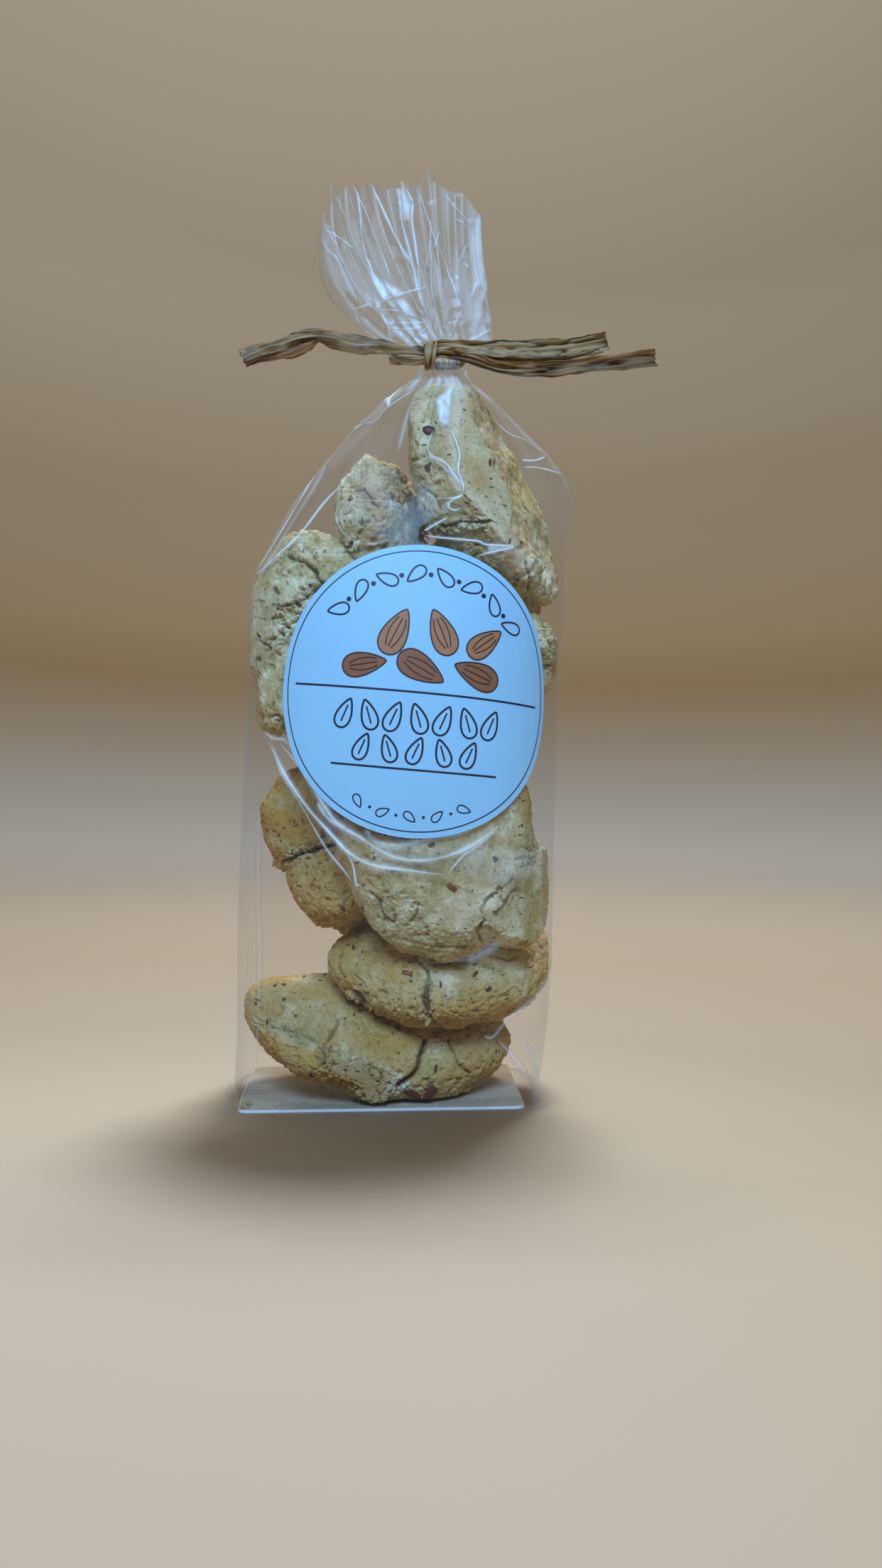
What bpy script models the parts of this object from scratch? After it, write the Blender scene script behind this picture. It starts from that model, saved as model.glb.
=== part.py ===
"""A clear film bag of almond cookies on a card base, gathered under a raffia tie, with a round paper label.

Metres, +Z up. The origin is the middle of the base card's underside, and the label faces -Y.
Tables of sizes are in millimetres, as (height, size) pairs, and MM turns them into metres.
"""

import math

import bmesh
import bpy
import numpy as np

MM = 0.001
CLEARANCE = 0.3

CARD_WIDTH = 64.0
CARD_DEPTH = 37.2
CARD_THICKNESS = 0.6
CARD_CORNER = 2.0

BAG_BOTTOM = CARD_THICKNESS + CLEARANCE
LEFT_SHOULDER = 118.0
RIGHT_SHOULDER = 143.0
NECK_BOTTOM = 170.4
NECK_TOP = 175.2
NECK_X = 14.5
NECK_RADIUS = 4.5
FAN_LEVEL = 210.0
FAN_TRIM_START = 188.0

# Where the film's left and right edges lie, how deep its front and back are, and where it is deepest.
BAG_LEFT = (
    (BAG_BOTTOM, -33.8), (18, -33.8), (55, -33.5), (90, -32.5), (LEFT_SHOULDER - 6, -32.3),
    (LEFT_SHOULDER, -31.6), (127, -27.6), (137, -22.8), (150.5, -12.6), (163.5, 0.4), (167.5, 6.2),
    (NECK_BOTTOM, NECK_X - NECK_RADIUS), (NECK_TOP, NECK_X - NECK_RADIUS),
    (178.4, 3.8), (182.5, -5.8), (188.5, -10.2), (198, -14.8), (FAN_LEVEL, -13.2),
)
BAG_RIGHT = (
    (BAG_BOTTOM, 35.4), (18, 39.0), (55, 40.8), (90, 42.0), (121.5, 43.9), (136, 45.2),
    (RIGHT_SHOULDER, 46.0), (146, 44.4), (150.5, 40.8), (156, 35.2), (162, 29.6), (166.5, 24.2),
    (NECK_BOTTOM, NECK_X + NECK_RADIUS), (NECK_TOP, NECK_X + NECK_RADIUS),
    (178.4, 26.0), (184, 27.0), (192, 25.8), (202, 24.1), (FAN_LEVEL, 23.2),
)
BAG_FRONT = (
    (BAG_BOTTOM, 18.6), (18, 20.8), (45, 23.5), (61, 25.0), (92, 27.0), (123, 24.6), (143, 18.5),
    (157, 12.0), (165, 7.8), (NECK_BOTTOM, NECK_RADIUS), (NECK_TOP, NECK_RADIUS),
    (180, 5.5), (FAN_LEVEL, 6.0),
)
BAG_BACK = (
    (BAG_BOTTOM, 18.6), (18, 20.0), (55, 21.5), (92, 22.0), (123, 21.0), (143, 17.0),
    (157, 11.5), (165, 7.6), (NECK_BOTTOM, NECK_RADIUS), (NECK_TOP, NECK_RADIUS),
    (180, 5.5), (FAN_LEVEL, 6.0),
)
BAG_MIDDLE = (
    (BAG_BOTTOM, 0.0), (40, 9.0), (61, 11.0), (92, 7.5), (123, 5.0), (143, 10.0), (160, 13.5),
    (NECK_BOTTOM, NECK_X), (NECK_TOP, NECK_X), (188, 8.0), (FAN_LEVEL, 5.0),
)
# Section shape of each side: 2 is an ellipse, more is squarer, less is drawn to a folded edge.
SQUARENESS_LEFT = (
    (BAG_BOTTOM, 9.0), (18, 4.0), (40, 2.8), (61, 2.2), (92, 1.96), (LEFT_SHOULDER, 1.85),
    (137, 1.6), (160, 1.8), (NECK_BOTTOM, 2.0), (FAN_LEVEL, 2.0),
)
SQUARENESS_RIGHT = (
    (BAG_BOTTOM, 9.0), (18, 4.0), (40, 2.8), (61, 2.2), (92, 1.98), (123, 1.9),
    (RIGHT_SHOULDER, 1.6), (160, 1.8), (NECK_BOTTOM, 2.0), (FAN_LEVEL, 2.0),
)
# Pleats run round the neck; above it the whole fan waves from front to back.
PLEAT_DEPTH = (
    (BAG_BOTTOM, 0.0), (146, 0.0), (158, 0.5), (NECK_BOTTOM, 0.3), (NECK_TOP, 0.3), (188, 0.0), (FAN_LEVEL, 0.0),
)
PLEAT_COUNT = 11
WAVE_DEPTH = ((BAG_BOTTOM, 0.0), (NECK_TOP, 0.0), (184, 1.2), (FAN_LEVEL, 2.4))
WAVES = 3.0
# Height of the fan's cut edge from its left end to its right.
FAN_EDGE = (
    (-13.2, 211.0), (-6.5, 212.0), (0.3, 211.6), (7.1, 212.6), (11.0, 216.6), (14.7, 214.0), (19.0, 210.2), (23.2, 206.4),
)

BAG_COLUMNS = 60
# Where each run of rows starts, and how many rows it has.
BAG_ROWS = ((BAG_BOTTOM, 26), (140.0, 9), (166.0, 5), (NECK_TOP, 8), (FAN_TRIM_START, 6))

LABEL_DIAMETER = 63.5
LABEL_THICKNESS = 0.3
LABEL_X = 8.3
LABEL_HEIGHT = 92.6
LABEL_TURN = math.radians(-5.0)
LABEL_RINGS = 7
LABEL_SPOKES = 44

RAFFIA_WIDTH = 4.0
RAFFIA_THICKNESS = 1.0
TIE_HEIGHT = 172.8
TIE_RING_RADIUS = NECK_RADIUS + CLEARANCE * 2 + 0.65
TIE_RING_TUBE = 0.6
TIE_RING_STRETCH = 3.0
KNOT_SIZE = (1.9, 2.3, 2.7)
KNOT_PLACE = (11.0, -6.9, 172.2)
# Each stop is x, y, z, width and twist in degrees.
TAIL_ROUTES = {
    "left_tail": (
        (12.5, -7.4, 172.9, 2.2, 0), (6.9, -7.3, 173.6, 2.4, 8), (0.3, -7.0, 174.6, 3.6, 15),
        (-6.3, -6.8, 175.0, 4.4, 15), (-15.4, -6.6, 176.9, 3.2, -25), (-21.0, -6.6, 174.7, 4.8, -10),
        (-29.3, -6.8, 172.1, 4.6, 0), (-32.2, -6.8, 171.2, 3.6, 0),
    ),
    "left_stub": ((12.0, -8.0, 171.3, 1.9, 0), (6.1, -8.2, 170.9, 2.0, 10), (1.6, -8.0, 171.1, 2.2, 0)),
    "upper_right_tail": (
        (9.8, -7.4, 173.8, 2.0, 0), (16.8, -7.6, 174.4, 2.6, 10), (23.5, -7.4, 173.9, 4.3, 10),
        (31.0, -7.1, 173.5, 5.4, -10), (43.6, -7.0, 174.3, 4.8, 10), (52.6, -7.0, 176.6, 4.6, 20),
    ),
    "lower_right_tail": (
        (10.5, -8.2, 171.9, 1.9, 0), (20.0, -8.7, 171.6, 2.3, 10), (26.8, -8.9, 169.3, 2.6, 25),
        (36.0, -8.8, 168.9, 2.8, 10), (47.0, -8.5, 170.1, 3.8, -10), (64.2, -8.3, 172.6, 4.0, 0),
    ),
}


def smooth_curve(points):
    """A function of height through the given pairs, with a soft bend at each and no overshoot."""
    place, value = np.array(points, float).T
    slope = np.diff(value) / np.diff(place)
    tangent = np.concatenate([slope[:1], (slope[1:] + slope[:-1]) / 2, slope[-1:]])
    least = np.minimum(np.abs(slope[1:]), np.abs(slope[:-1])) * 2.5
    tangent[1:-1] = np.clip(tangent[1:-1], -least, least)
    tangent[1:-1][slope[1:] * slope[:-1] <= 0] = 0

    def at(height):
        height = np.clip(height, place[0], place[-1])
        span = np.clip(np.searchsorted(place, height, side="right") - 1, 0, len(slope) - 1)
        step = place[span + 1] - place[span]
        t = (height - place[span]) / step
        start = (2 * t**3 - 3 * t**2 + 1) * value[span] + (t**3 - 2 * t**2 + t) * step * tangent[span]
        end = (3 * t**2 - 2 * t**3) * value[span + 1] + (t**3 - t**2) * step * tangent[span + 1]
        return start + end

    return at


left_at = smooth_curve(BAG_LEFT)
right_at = smooth_curve(BAG_RIGHT)
front_at = smooth_curve(BAG_FRONT)
back_at = smooth_curve(BAG_BACK)
middle_at = smooth_curve(BAG_MIDDLE)
squareness_left_at = smooth_curve(SQUARENESS_LEFT)
squareness_right_at = smooth_curve(SQUARENESS_RIGHT)
pleat_at = smooth_curve(PLEAT_DEPTH)
wave_at = smooth_curve(WAVE_DEPTH)
fan_edge_at = smooth_curve(FAN_EDGE)


def clear_scene():
    for found in list(bpy.data.objects):
        bpy.data.objects.remove(found, do_unlink=True)


def material(name, colour, roughness, alpha=1.0):
    made = bpy.data.materials.new(name)
    made.use_nodes = True
    shader = made.node_tree.nodes["Principled BSDF"]
    shader.inputs["Base Color"].default_value = (*colour, 1.0)
    shader.inputs["Roughness"].default_value = roughness
    shader.inputs["Metallic"].default_value = 0.0
    shader.inputs["Alpha"].default_value = alpha
    return made


def add_object(name, mesh, collection, finish):
    made = bpy.data.objects.new(name, mesh)
    mesh.materials.clear()
    mesh.materials.append(finish)
    collection.objects.link(made)
    return made


def bag_row(height):
    """The film's outline at one height, turning from +X towards +Y."""
    angle = 2 * math.pi * np.arange(BAG_COLUMNS) / BAG_COLUMNS
    across, along = np.cos(angle), np.sin(angle)
    power = 2 / np.where(across < 0, squareness_left_at(height), squareness_right_at(height))
    middle = middle_at(height)
    half_width = np.where(across < 0, middle - left_at(height), right_at(height) - middle)
    half_depth = np.where(along < 0, front_at(height), back_at(height))
    pleat = pleat_at(height) * np.cos(PLEAT_COUNT * angle)
    x = middle + half_width * np.sign(across) * np.abs(across) ** power + pleat * across
    y = half_depth * np.sign(along) * np.abs(along) ** power + pleat * along
    y = y + wave_at(height) * np.sin(WAVES * math.pi * across)
    trim = np.clip((height - FAN_TRIM_START) / (FAN_LEVEL - FAN_TRIM_START), 0, 1)
    z = height + trim * (fan_edge_at(x) - FAN_LEVEL)
    return np.column_stack([x, y, z])


def row_heights():
    starts = [start for start, _ in BAG_ROWS] + [FAN_LEVEL]
    heights = [
        np.linspace(start, end, count, endpoint=False)
        for (start, count), end in zip(BAG_ROWS, starts[1:])
    ]
    return np.append(np.concatenate(heights), FAN_LEVEL)


def cap_row(mesh, row, facing_up):
    """Closes a row with a ladder of faces from its back half to its front half."""
    count = len(row)
    for step in range(count // 2):
        rung = [row[step], row[step + 1], row[count - step - 1], row[-step]]
        corners = list(dict.fromkeys(rung))
        mesh.faces.new(corners if facing_up else corners[::-1])


def build_bag(collection):
    """The closed outer form of the filled film bag, from the card to the fan above the tie."""
    mesh = bmesh.new()
    rows = [[mesh.verts.new(point * MM) for point in bag_row(height)] for height in row_heights()]
    for lower, upper in zip(rows, rows[1:]):
        for column in range(BAG_COLUMNS):
            after = (column + 1) % BAG_COLUMNS
            mesh.faces.new((lower[column], lower[after], upper[after], upper[column]))
    cap_row(mesh, rows[0], facing_up=False)
    cap_row(mesh, rows[-1], facing_up=True)
    data = bpy.data.meshes.new("clear_bag")
    mesh.to_mesh(data)
    mesh.free()
    data.shade_smooth()
    add_object("clear_bag", data, collection, material("clear_film", (0.82, 0.80, 0.74), 0.08, 0.35))


def film_front(x, height):
    """How far in front of the middle the film lies at a place on its front."""
    away = x - middle_at(height)
    reach = np.where(away < 0, middle_at(height) - left_at(height), right_at(height) - middle_at(height))
    power = np.where(away < 0, squareness_left_at(height), squareness_right_at(height))
    inside = np.clip(1 - np.abs(away / reach) ** power, 0, 1)
    return -front_at(height) * inside ** (1 / power)


def label_point(across, up, lift):
    """Wraps a point of the flat label round the film: its distances are kept along the surface."""
    turned_across = across * math.cos(LABEL_TURN) - up * math.sin(LABEL_TURN)
    turned_up = across * math.sin(LABEL_TURN) + up * math.cos(LABEL_TURN)
    height = LABEL_HEIGHT + turned_up
    x = np.linspace(LABEL_X - LABEL_DIAMETER / 2, LABEL_X + LABEL_DIAMETER / 2, 200)
    y = film_front(x, height)
    along = np.concatenate([[0], np.cumsum(np.hypot(np.diff(x), np.diff(y)))])
    along -= np.interp(LABEL_X, x, along)
    place = np.interp(turned_across, along, x)
    slope = (film_front(place + 0.5, height) - film_front(place - 0.5, height))
    rise = (film_front(place, height + 0.5) - film_front(place, height - 0.5))
    outward = np.array([slope, -1.0, rise]) / math.sqrt(slope**2 + 1 + rise**2)
    return np.array([place, film_front(place, height), height]) + outward * lift


def build_label(collection):
    """The round label, bent over the front of the bag."""
    mesh = bmesh.new()
    lift = CLEARANCE + LABEL_THICKNESS / 2
    centre = mesh.verts.new(label_point(0.0, 0.0, lift) * MM)
    rings = []
    for ring in range(1, LABEL_RINGS + 1):
        radius = LABEL_DIAMETER / 2 * ring / LABEL_RINGS
        angles = [2 * math.pi * spoke / LABEL_SPOKES for spoke in range(LABEL_SPOKES)]
        points = [label_point(radius * math.cos(a), radius * math.sin(a), lift) for a in angles]
        rings.append([mesh.verts.new(point * MM) for point in points])
    for spoke in range(LABEL_SPOKES):
        after = (spoke + 1) % LABEL_SPOKES
        mesh.faces.new((centre, rings[0][spoke], rings[0][after]))
        for inner, outer in zip(rings, rings[1:]):
            mesh.faces.new((inner[spoke], outer[spoke], outer[after], inner[after]))
    data = bpy.data.meshes.new("round_label")
    mesh.to_mesh(data)
    mesh.free()
    label = add_object("round_label", data, collection, material("label_paper", (0.42, 0.58, 0.90), 0.55))
    thicken = label.modifiers.new("thickness", "SOLIDIFY")
    thicken.thickness = LABEL_THICKNESS * MM
    thicken.offset = 0.0


def build_card(collection):
    """The stiff card that the bag stands on, with rounded corners."""
    mesh = bmesh.new()
    bmesh.ops.create_cube(mesh, size=1.0)
    bmesh.ops.scale(mesh, vec=(CARD_WIDTH * MM, CARD_DEPTH * MM, CARD_THICKNESS * MM), verts=mesh.verts)
    bmesh.ops.translate(mesh, vec=(0, 0, CARD_THICKNESS * MM / 2), verts=mesh.verts)
    upright = [e for e in mesh.edges if abs(e.verts[0].co.z - e.verts[1].co.z) > CARD_THICKNESS * MM / 2]
    bmesh.ops.bevel(mesh, geom=upright, offset=CARD_CORNER * MM, segments=4, profile=0.5, affect="EDGES")
    data = bpy.data.meshes.new("base_card")
    mesh.to_mesh(data)
    mesh.free()
    add_object("base_card", data, collection, material("card", (0.70, 0.72, 0.74), 0.6))


def ribbon_profile(collection):
    """The flat section of a raffia strip, thinner at its edges, standing upright on the strip's route."""
    curve = bpy.data.curves.new("raffia_section", "CURVE")
    curve.dimensions = "2D"
    curve.fill_mode = "NONE"
    spline = curve.splines.new("POLY")
    corners = ((0, 0.5), (0.4, 0.3), (0.5, 0), (0.4, -0.3), (0, -0.5), (-0.4, -0.3), (-0.5, 0), (-0.4, 0.3))
    spline.points.add(len(corners) - 1)
    for point, (thick, wide) in zip(spline.points, corners):
        point.co = (thick * RAFFIA_THICKNESS * MM, wide * RAFFIA_WIDTH * MM, 0, 1)
    spline.use_cyclic_u = True
    profile = bpy.data.objects.new("raffia_section", curve)
    profile.hide_render = True
    profile.display_type = "WIRE"
    collection.objects.link(profile)
    return profile


def ribbon(name, route, profile, collection):
    """A strip of raffia along a smooth route, as a closed mesh."""
    curve = bpy.data.curves.new(name, "CURVE")
    curve.dimensions = "3D"
    curve.twist_mode = "Z_UP"
    curve.bevel_mode = "OBJECT"
    curve.bevel_object = profile
    curve.use_fill_caps = True
    curve.resolution_u = 3
    spline = curve.splines.new("BEZIER")
    spline.bezier_points.add(len(route) - 1)
    for point, (x, y, z, width, twist) in zip(spline.bezier_points, route):
        point.co = (x * MM, y * MM, z * MM)
        point.handle_left_type = "AUTO"
        point.handle_right_type = "AUTO"
        point.radius = width / RAFFIA_WIDTH
        point.tilt = math.radians(twist)
    guide = bpy.data.objects.new(name + "_guide", curve)
    collection.objects.link(guide)
    bpy.context.view_layer.update()
    data = bpy.data.meshes.new_from_object(guide.evaluated_get(bpy.context.evaluated_depsgraph_get()))
    bpy.data.objects.remove(guide, do_unlink=True)
    mesh = bmesh.new()
    mesh.from_mesh(data)
    bmesh.ops.remove_doubles(mesh, verts=mesh.verts, dist=0.001 * MM)
    bmesh.ops.recalc_face_normals(mesh, faces=mesh.faces)
    mesh.to_mesh(data)
    mesh.free()
    strip = bpy.data.objects.new(name, data)
    collection.objects.link(strip)
    return strip


def tie_ring():
    """The turns of raffia round the neck, as one band."""
    bpy.ops.mesh.primitive_torus_add(
        location=(NECK_X * MM, 0, TIE_HEIGHT * MM),
        major_radius=TIE_RING_RADIUS * MM,
        minor_radius=TIE_RING_TUBE * MM,
        major_segments=28,
        minor_segments=8,
    )
    ring = bpy.context.object
    ring.scale.z = TIE_RING_STRETCH
    bpy.ops.object.transform_apply(location=True, rotation=True, scale=True)
    return ring


def tie_knot():
    """The lump where the strips cross."""
    bpy.ops.mesh.primitive_uv_sphere_add(segments=14, ring_count=9, radius=MM, location=[c * MM for c in KNOT_PLACE])
    knot = bpy.context.object
    knot.scale = KNOT_SIZE
    bpy.ops.object.transform_apply(location=True, rotation=True, scale=True)
    return knot


def build_tie(collection, helpers):
    """The raffia tie: its ring, knot and four loose ends, joined into one solid."""
    profile = ribbon_profile(helpers)
    strips = [ribbon(name, route, profile, helpers) for name, route in TAIL_ROUTES.items()]
    ring = tie_ring()
    for piece in strips + [tie_knot()]:
        join = ring.modifiers.new("join_" + piece.name, "BOOLEAN")
        join.operation = "UNION"
        join.object = piece
    bpy.context.view_layer.update()
    data = bpy.data.meshes.new_from_object(ring.evaluated_get(bpy.context.evaluated_depsgraph_get()))
    used = [ring] + [join.object for join in ring.modifiers] + [profile]
    for piece in used:
        bpy.data.objects.remove(piece, do_unlink=True)
    data.name = "raffia_tie"
    data.shade_smooth()
    add_object("raffia_tie", data, collection, material("raffia", (0.22, 0.15, 0.07), 0.75))


def main():
    clear_scene()
    parts = bpy.data.collections.new("almond_cookie_bag")
    helpers = bpy.data.collections.new("helpers")
    bpy.context.scene.collection.children.link(parts)
    bpy.context.scene.collection.children.link(helpers)
    build_card(parts)
    build_bag(parts)
    build_label(parts)
    build_tie(parts, helpers)


main()
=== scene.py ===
# The looks of a clear film bag of almond cookies, tied with raffia and marked with a round label.
# Tables of sizes are in millimetres, like the part's own, and MM turns them into Blender's metres.
import math
from typing import NamedTuple

import bmesh
import bpy
import numpy as np
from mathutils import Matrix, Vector
from mathutils.bvhtree import BVHTree


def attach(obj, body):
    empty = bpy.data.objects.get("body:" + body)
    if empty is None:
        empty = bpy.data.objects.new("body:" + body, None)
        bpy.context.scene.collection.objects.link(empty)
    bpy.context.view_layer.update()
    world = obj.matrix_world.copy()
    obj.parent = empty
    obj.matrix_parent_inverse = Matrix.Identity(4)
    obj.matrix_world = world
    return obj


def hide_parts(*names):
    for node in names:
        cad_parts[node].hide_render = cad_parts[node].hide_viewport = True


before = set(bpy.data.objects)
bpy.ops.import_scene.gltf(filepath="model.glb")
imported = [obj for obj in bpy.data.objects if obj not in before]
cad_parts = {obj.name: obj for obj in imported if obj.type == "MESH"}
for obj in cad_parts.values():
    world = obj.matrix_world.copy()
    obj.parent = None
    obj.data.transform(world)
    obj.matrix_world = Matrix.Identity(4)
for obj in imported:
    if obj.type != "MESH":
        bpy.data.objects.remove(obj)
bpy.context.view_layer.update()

MM = 0.001
BODY = "root"

# The photo's size and the camera that took it, fitted to the card's corners and the label.
PHOTO_WIDTH = 1242
PHOTO_HEIGHT = 2208
FOCAL_PIXELS = 1531.0
SENSOR = 36.0
CAMERA_PLACE = np.array((0.4, -260.4, 72.6))
CAMERA_TURN = math.radians(3.0)
CAMERA_FORWARD = np.array((math.sin(CAMERA_TURN), math.cos(CAMERA_TURN), 0.0))
CAMERA_RIGHT = np.array((math.cos(CAMERA_TURN), -math.sin(CAMERA_TURN), 0.0))

UPWARDS = (0.0, 0.0, 1.0)
SIDEWAYS = (1.0, 0.0, 0.0)

CARD_TOP = 0.6
NECK_PLACE = np.array((14.5, 0.0, 172.8))
NECK_RADIUS = 4.5


class Cookie(NamedTuple):
    """A cookie's place and form: heights are of its dome and its base, from the rim."""

    centre: tuple
    dome_towards: tuple
    long_side: tuple
    radii: tuple
    heights: tuple
    crag: float
    base_squareness: float
    seed: int


COOKIES = {
    "cookie_bottom": Cookie(
        (-2.3, 0.0, 14.4), (0.12, -0.42, 0.9), (1, 0, -0.13), (28.6, 21), (9.0, 7.0), 0.6, 3.0, 3
    ),
    "cookie_second": Cookie(
        (12.0, -1.5, 31.5), (0.0, -0.64, 0.77), (1, 0, 0.03), (26.2, 21), (9.0, 7.0), 0.4, 3.5, 5
    ),
    "cookie_front": Cookie(
        (15.3, -14.0, 56.2), (0.02, -0.99, -0.08), (1, 0, 0), (24.6, 23.7), (10.0, 7.5), 0.7, 4, 8
    ),
    "cookie_left": Cookie(
        (-7.0, 0.5, 58.5), (-0.2, -0.95, 0.25), (0.2, 0, 1), (23.5, 21.5), (8.5, 7.0), 0.5, 4, 13
    ),
    "cookie_craggy": Cookie(
        (-13.0, -7.0, 108.0), (-0.35, -0.93, 0.1), (0, 0, 1), (23.8, 19), (9.0, 7.5), 1.5, 4, 21
    ),
    "cookie_right": Cookie(
        (22.5, -5.5, 100.5), (0.3, -0.95, 0.0), (1, 0.3, 0), (20.0, 15.5), (9.0, 7.0), 0.7, 4, 34
    ),
    "cookie_shaded": Cookie(
        (21.0, 3.0, 118.0), (0.1, -0.85, 0.5), (1, 0, 0), (17.0, 17.0), (9.0, 7.0), 0.6, 4, 55
    ),
    "cookie_peak": Cookie(
        (0.2, -1.0, 132.0), (-0.86, 0.36, -0.1), (0.1, 0, 1), (18.2, 15.5), (8.5, 7.0), 0.6, 7, 89
    ),
    "cookie_tall": Cookie(
        (23.4, -1.0, 140.3), (-0.85, 0.41, -0.33), (-0.36, 0, 0.93), (26.8, 17.5), (10.0, 7.5), 0.2, 9, 144
    ),
    "cookie_back_low": Cookie(
        (5.0, 9.0, 51.8), (0.1, 0.98, 0.1), (1, 0, 0.3), (22.0, 22.0), (8.0, 6.5), 0.6, 4, 233
    ),
    "cookie_back_high": Cookie(
        (-1.0, 9.5, 98.0), (-0.1, 0.98, 0.05), (0.3, 0, 1), (22.5, 21), (8.0, 6.5), 0.7, 4, 377
    ),
}

# How golden the cookies are that aren't pale: partly their baking, and partly painted shade on the lower and
# shaded cookies.
GOLDEN_AND_SHADE_SHARES = {
    "cookie_bottom": 0.66, "cookie_second": 0.56, "cookie_left": 0.88, "cookie_back_low": 0.7,
    "cookie_shaded": 0.35, "cookie_right": 0.15, "cookie_craggy": 0.06, "cookie_back_high": 0.1,
}

# Ridges that the photo shows: height and width in millimetres, then a line in photo pixels.
PHOTO_RIDGES = {
    "cookie_tall": ((1.5, 3.2, ((640, 548), (644, 600), (650, 650), (668, 690), (690, 720), (716, 762),
                                           (740, 800))),),
    "cookie_peak": ((1.2, 2.6, ((518, 648), (524, 665), (532, 695), (548, 712))),
                    (0.9, 2.2, ((518, 648), (500, 676), (486, 700)))),
    "cookie_craggy": ((0.9, 2.6, ((360, 838), (395, 846), (430, 836), (452, 818))),),
    "cookie_front": ((1.0, 2.4, ((655, 1290), (690, 1262), (728, 1228))),),
}

# The cookies' outlines by photo pixel, as the camera sees them. Where the label or another cookie covers an
# outline, it is guessed.
COOKIE_OUTLINES = {
    "cookie_bottom": (
        (349, 1414), (354, 1395), (372, 1380), (408, 1375), (450, 1369), (520, 1370), (620, 1385),
        (694, 1420), (723, 1456), (716, 1480), (700, 1505), (668, 1525), (648, 1537), (616, 1545),
        (593, 1550), (564, 1549), (538, 1552), (505, 1546), (492, 1538), (453, 1528), (421, 1515),
        (395, 1496), (372, 1473), (356, 1447),
    ),
    "cookie_second": (
        (466, 1375), (461, 1359), (462, 1342), (467, 1325), (490, 1305), (540, 1290), (620, 1285),
        (700, 1290), (755, 1300), (778, 1318), (785, 1335), (779, 1357), (764, 1388), (744, 1412),
        (723, 1425), (700, 1439), (655, 1447), (603, 1445), (570, 1440), (538, 1432), (521, 1424),
        (505, 1411), (482, 1395),
    ),
    "cookie_front": (
        (485, 1222), (497, 1247), (507, 1268), (522, 1297), (548, 1322), (575, 1339), (600, 1348),
        (640, 1350), (668, 1341), (691, 1328), (704, 1331), (716, 1337), (745, 1329), (766, 1306),
        (778, 1280), (782, 1258), (772, 1240), (774, 1220), (768, 1205), (755, 1194), (752, 1165),
        (747, 1125), (732, 1092), (700, 1075), (640, 1062), (570, 1068), (520, 1100), (490, 1150),
        (480, 1190),
    ),
    "cookie_left": (
        (410, 1089), (393, 1098), (378, 1118), (368, 1138), (369, 1162), (378, 1189), (391, 1212),
        (404, 1222), (405, 1244), (419, 1268), (434, 1291), (448, 1301), (469, 1306), (484, 1307),
        (508, 1298), (540, 1278), (560, 1220), (560, 1150), (530, 1090), (480, 1065), (440, 1070),
    ),
    "cookie_craggy": (
        (391, 767), (412, 756), (442, 752), (470, 754), (500, 775), (530, 820), (545, 880), (540, 950),
        (510, 1000), (460, 1022), (402, 1031), (378, 1028), (366, 980), (355, 945), (347, 905), (346, 862),
        (353, 842), (346, 831), (360, 806), (378, 780),
    ),
    "cookie_right": (
        (757, 866), (775, 882), (785, 905), (786, 930), (779, 955), (766, 975), (745, 990), (700, 1000),
        (660, 985), (640, 940), (650, 890), (690, 862), (725, 858),
    ),
    "cookie_peak": (
        (518, 648), (540, 651), (562, 656), (582, 684), (596, 712), (600, 745), (598, 790), (590, 830),
        (560, 852), (525, 850), (495, 832), (484, 800), (476, 768), (471, 735), (474, 708), (489, 680),
        (502, 662),
    ),
    "cookie_tall": (
        (592, 551), (625, 545), (664, 546), (700, 598), (737, 673), (772, 733), (788, 798), (783, 832),
        (762, 850), (742, 856), (700, 838), (655, 806), (618, 765), (604, 747), (589, 716), (579, 675),
        (571, 640), (572, 600), (580, 568),
    ),
}

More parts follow.
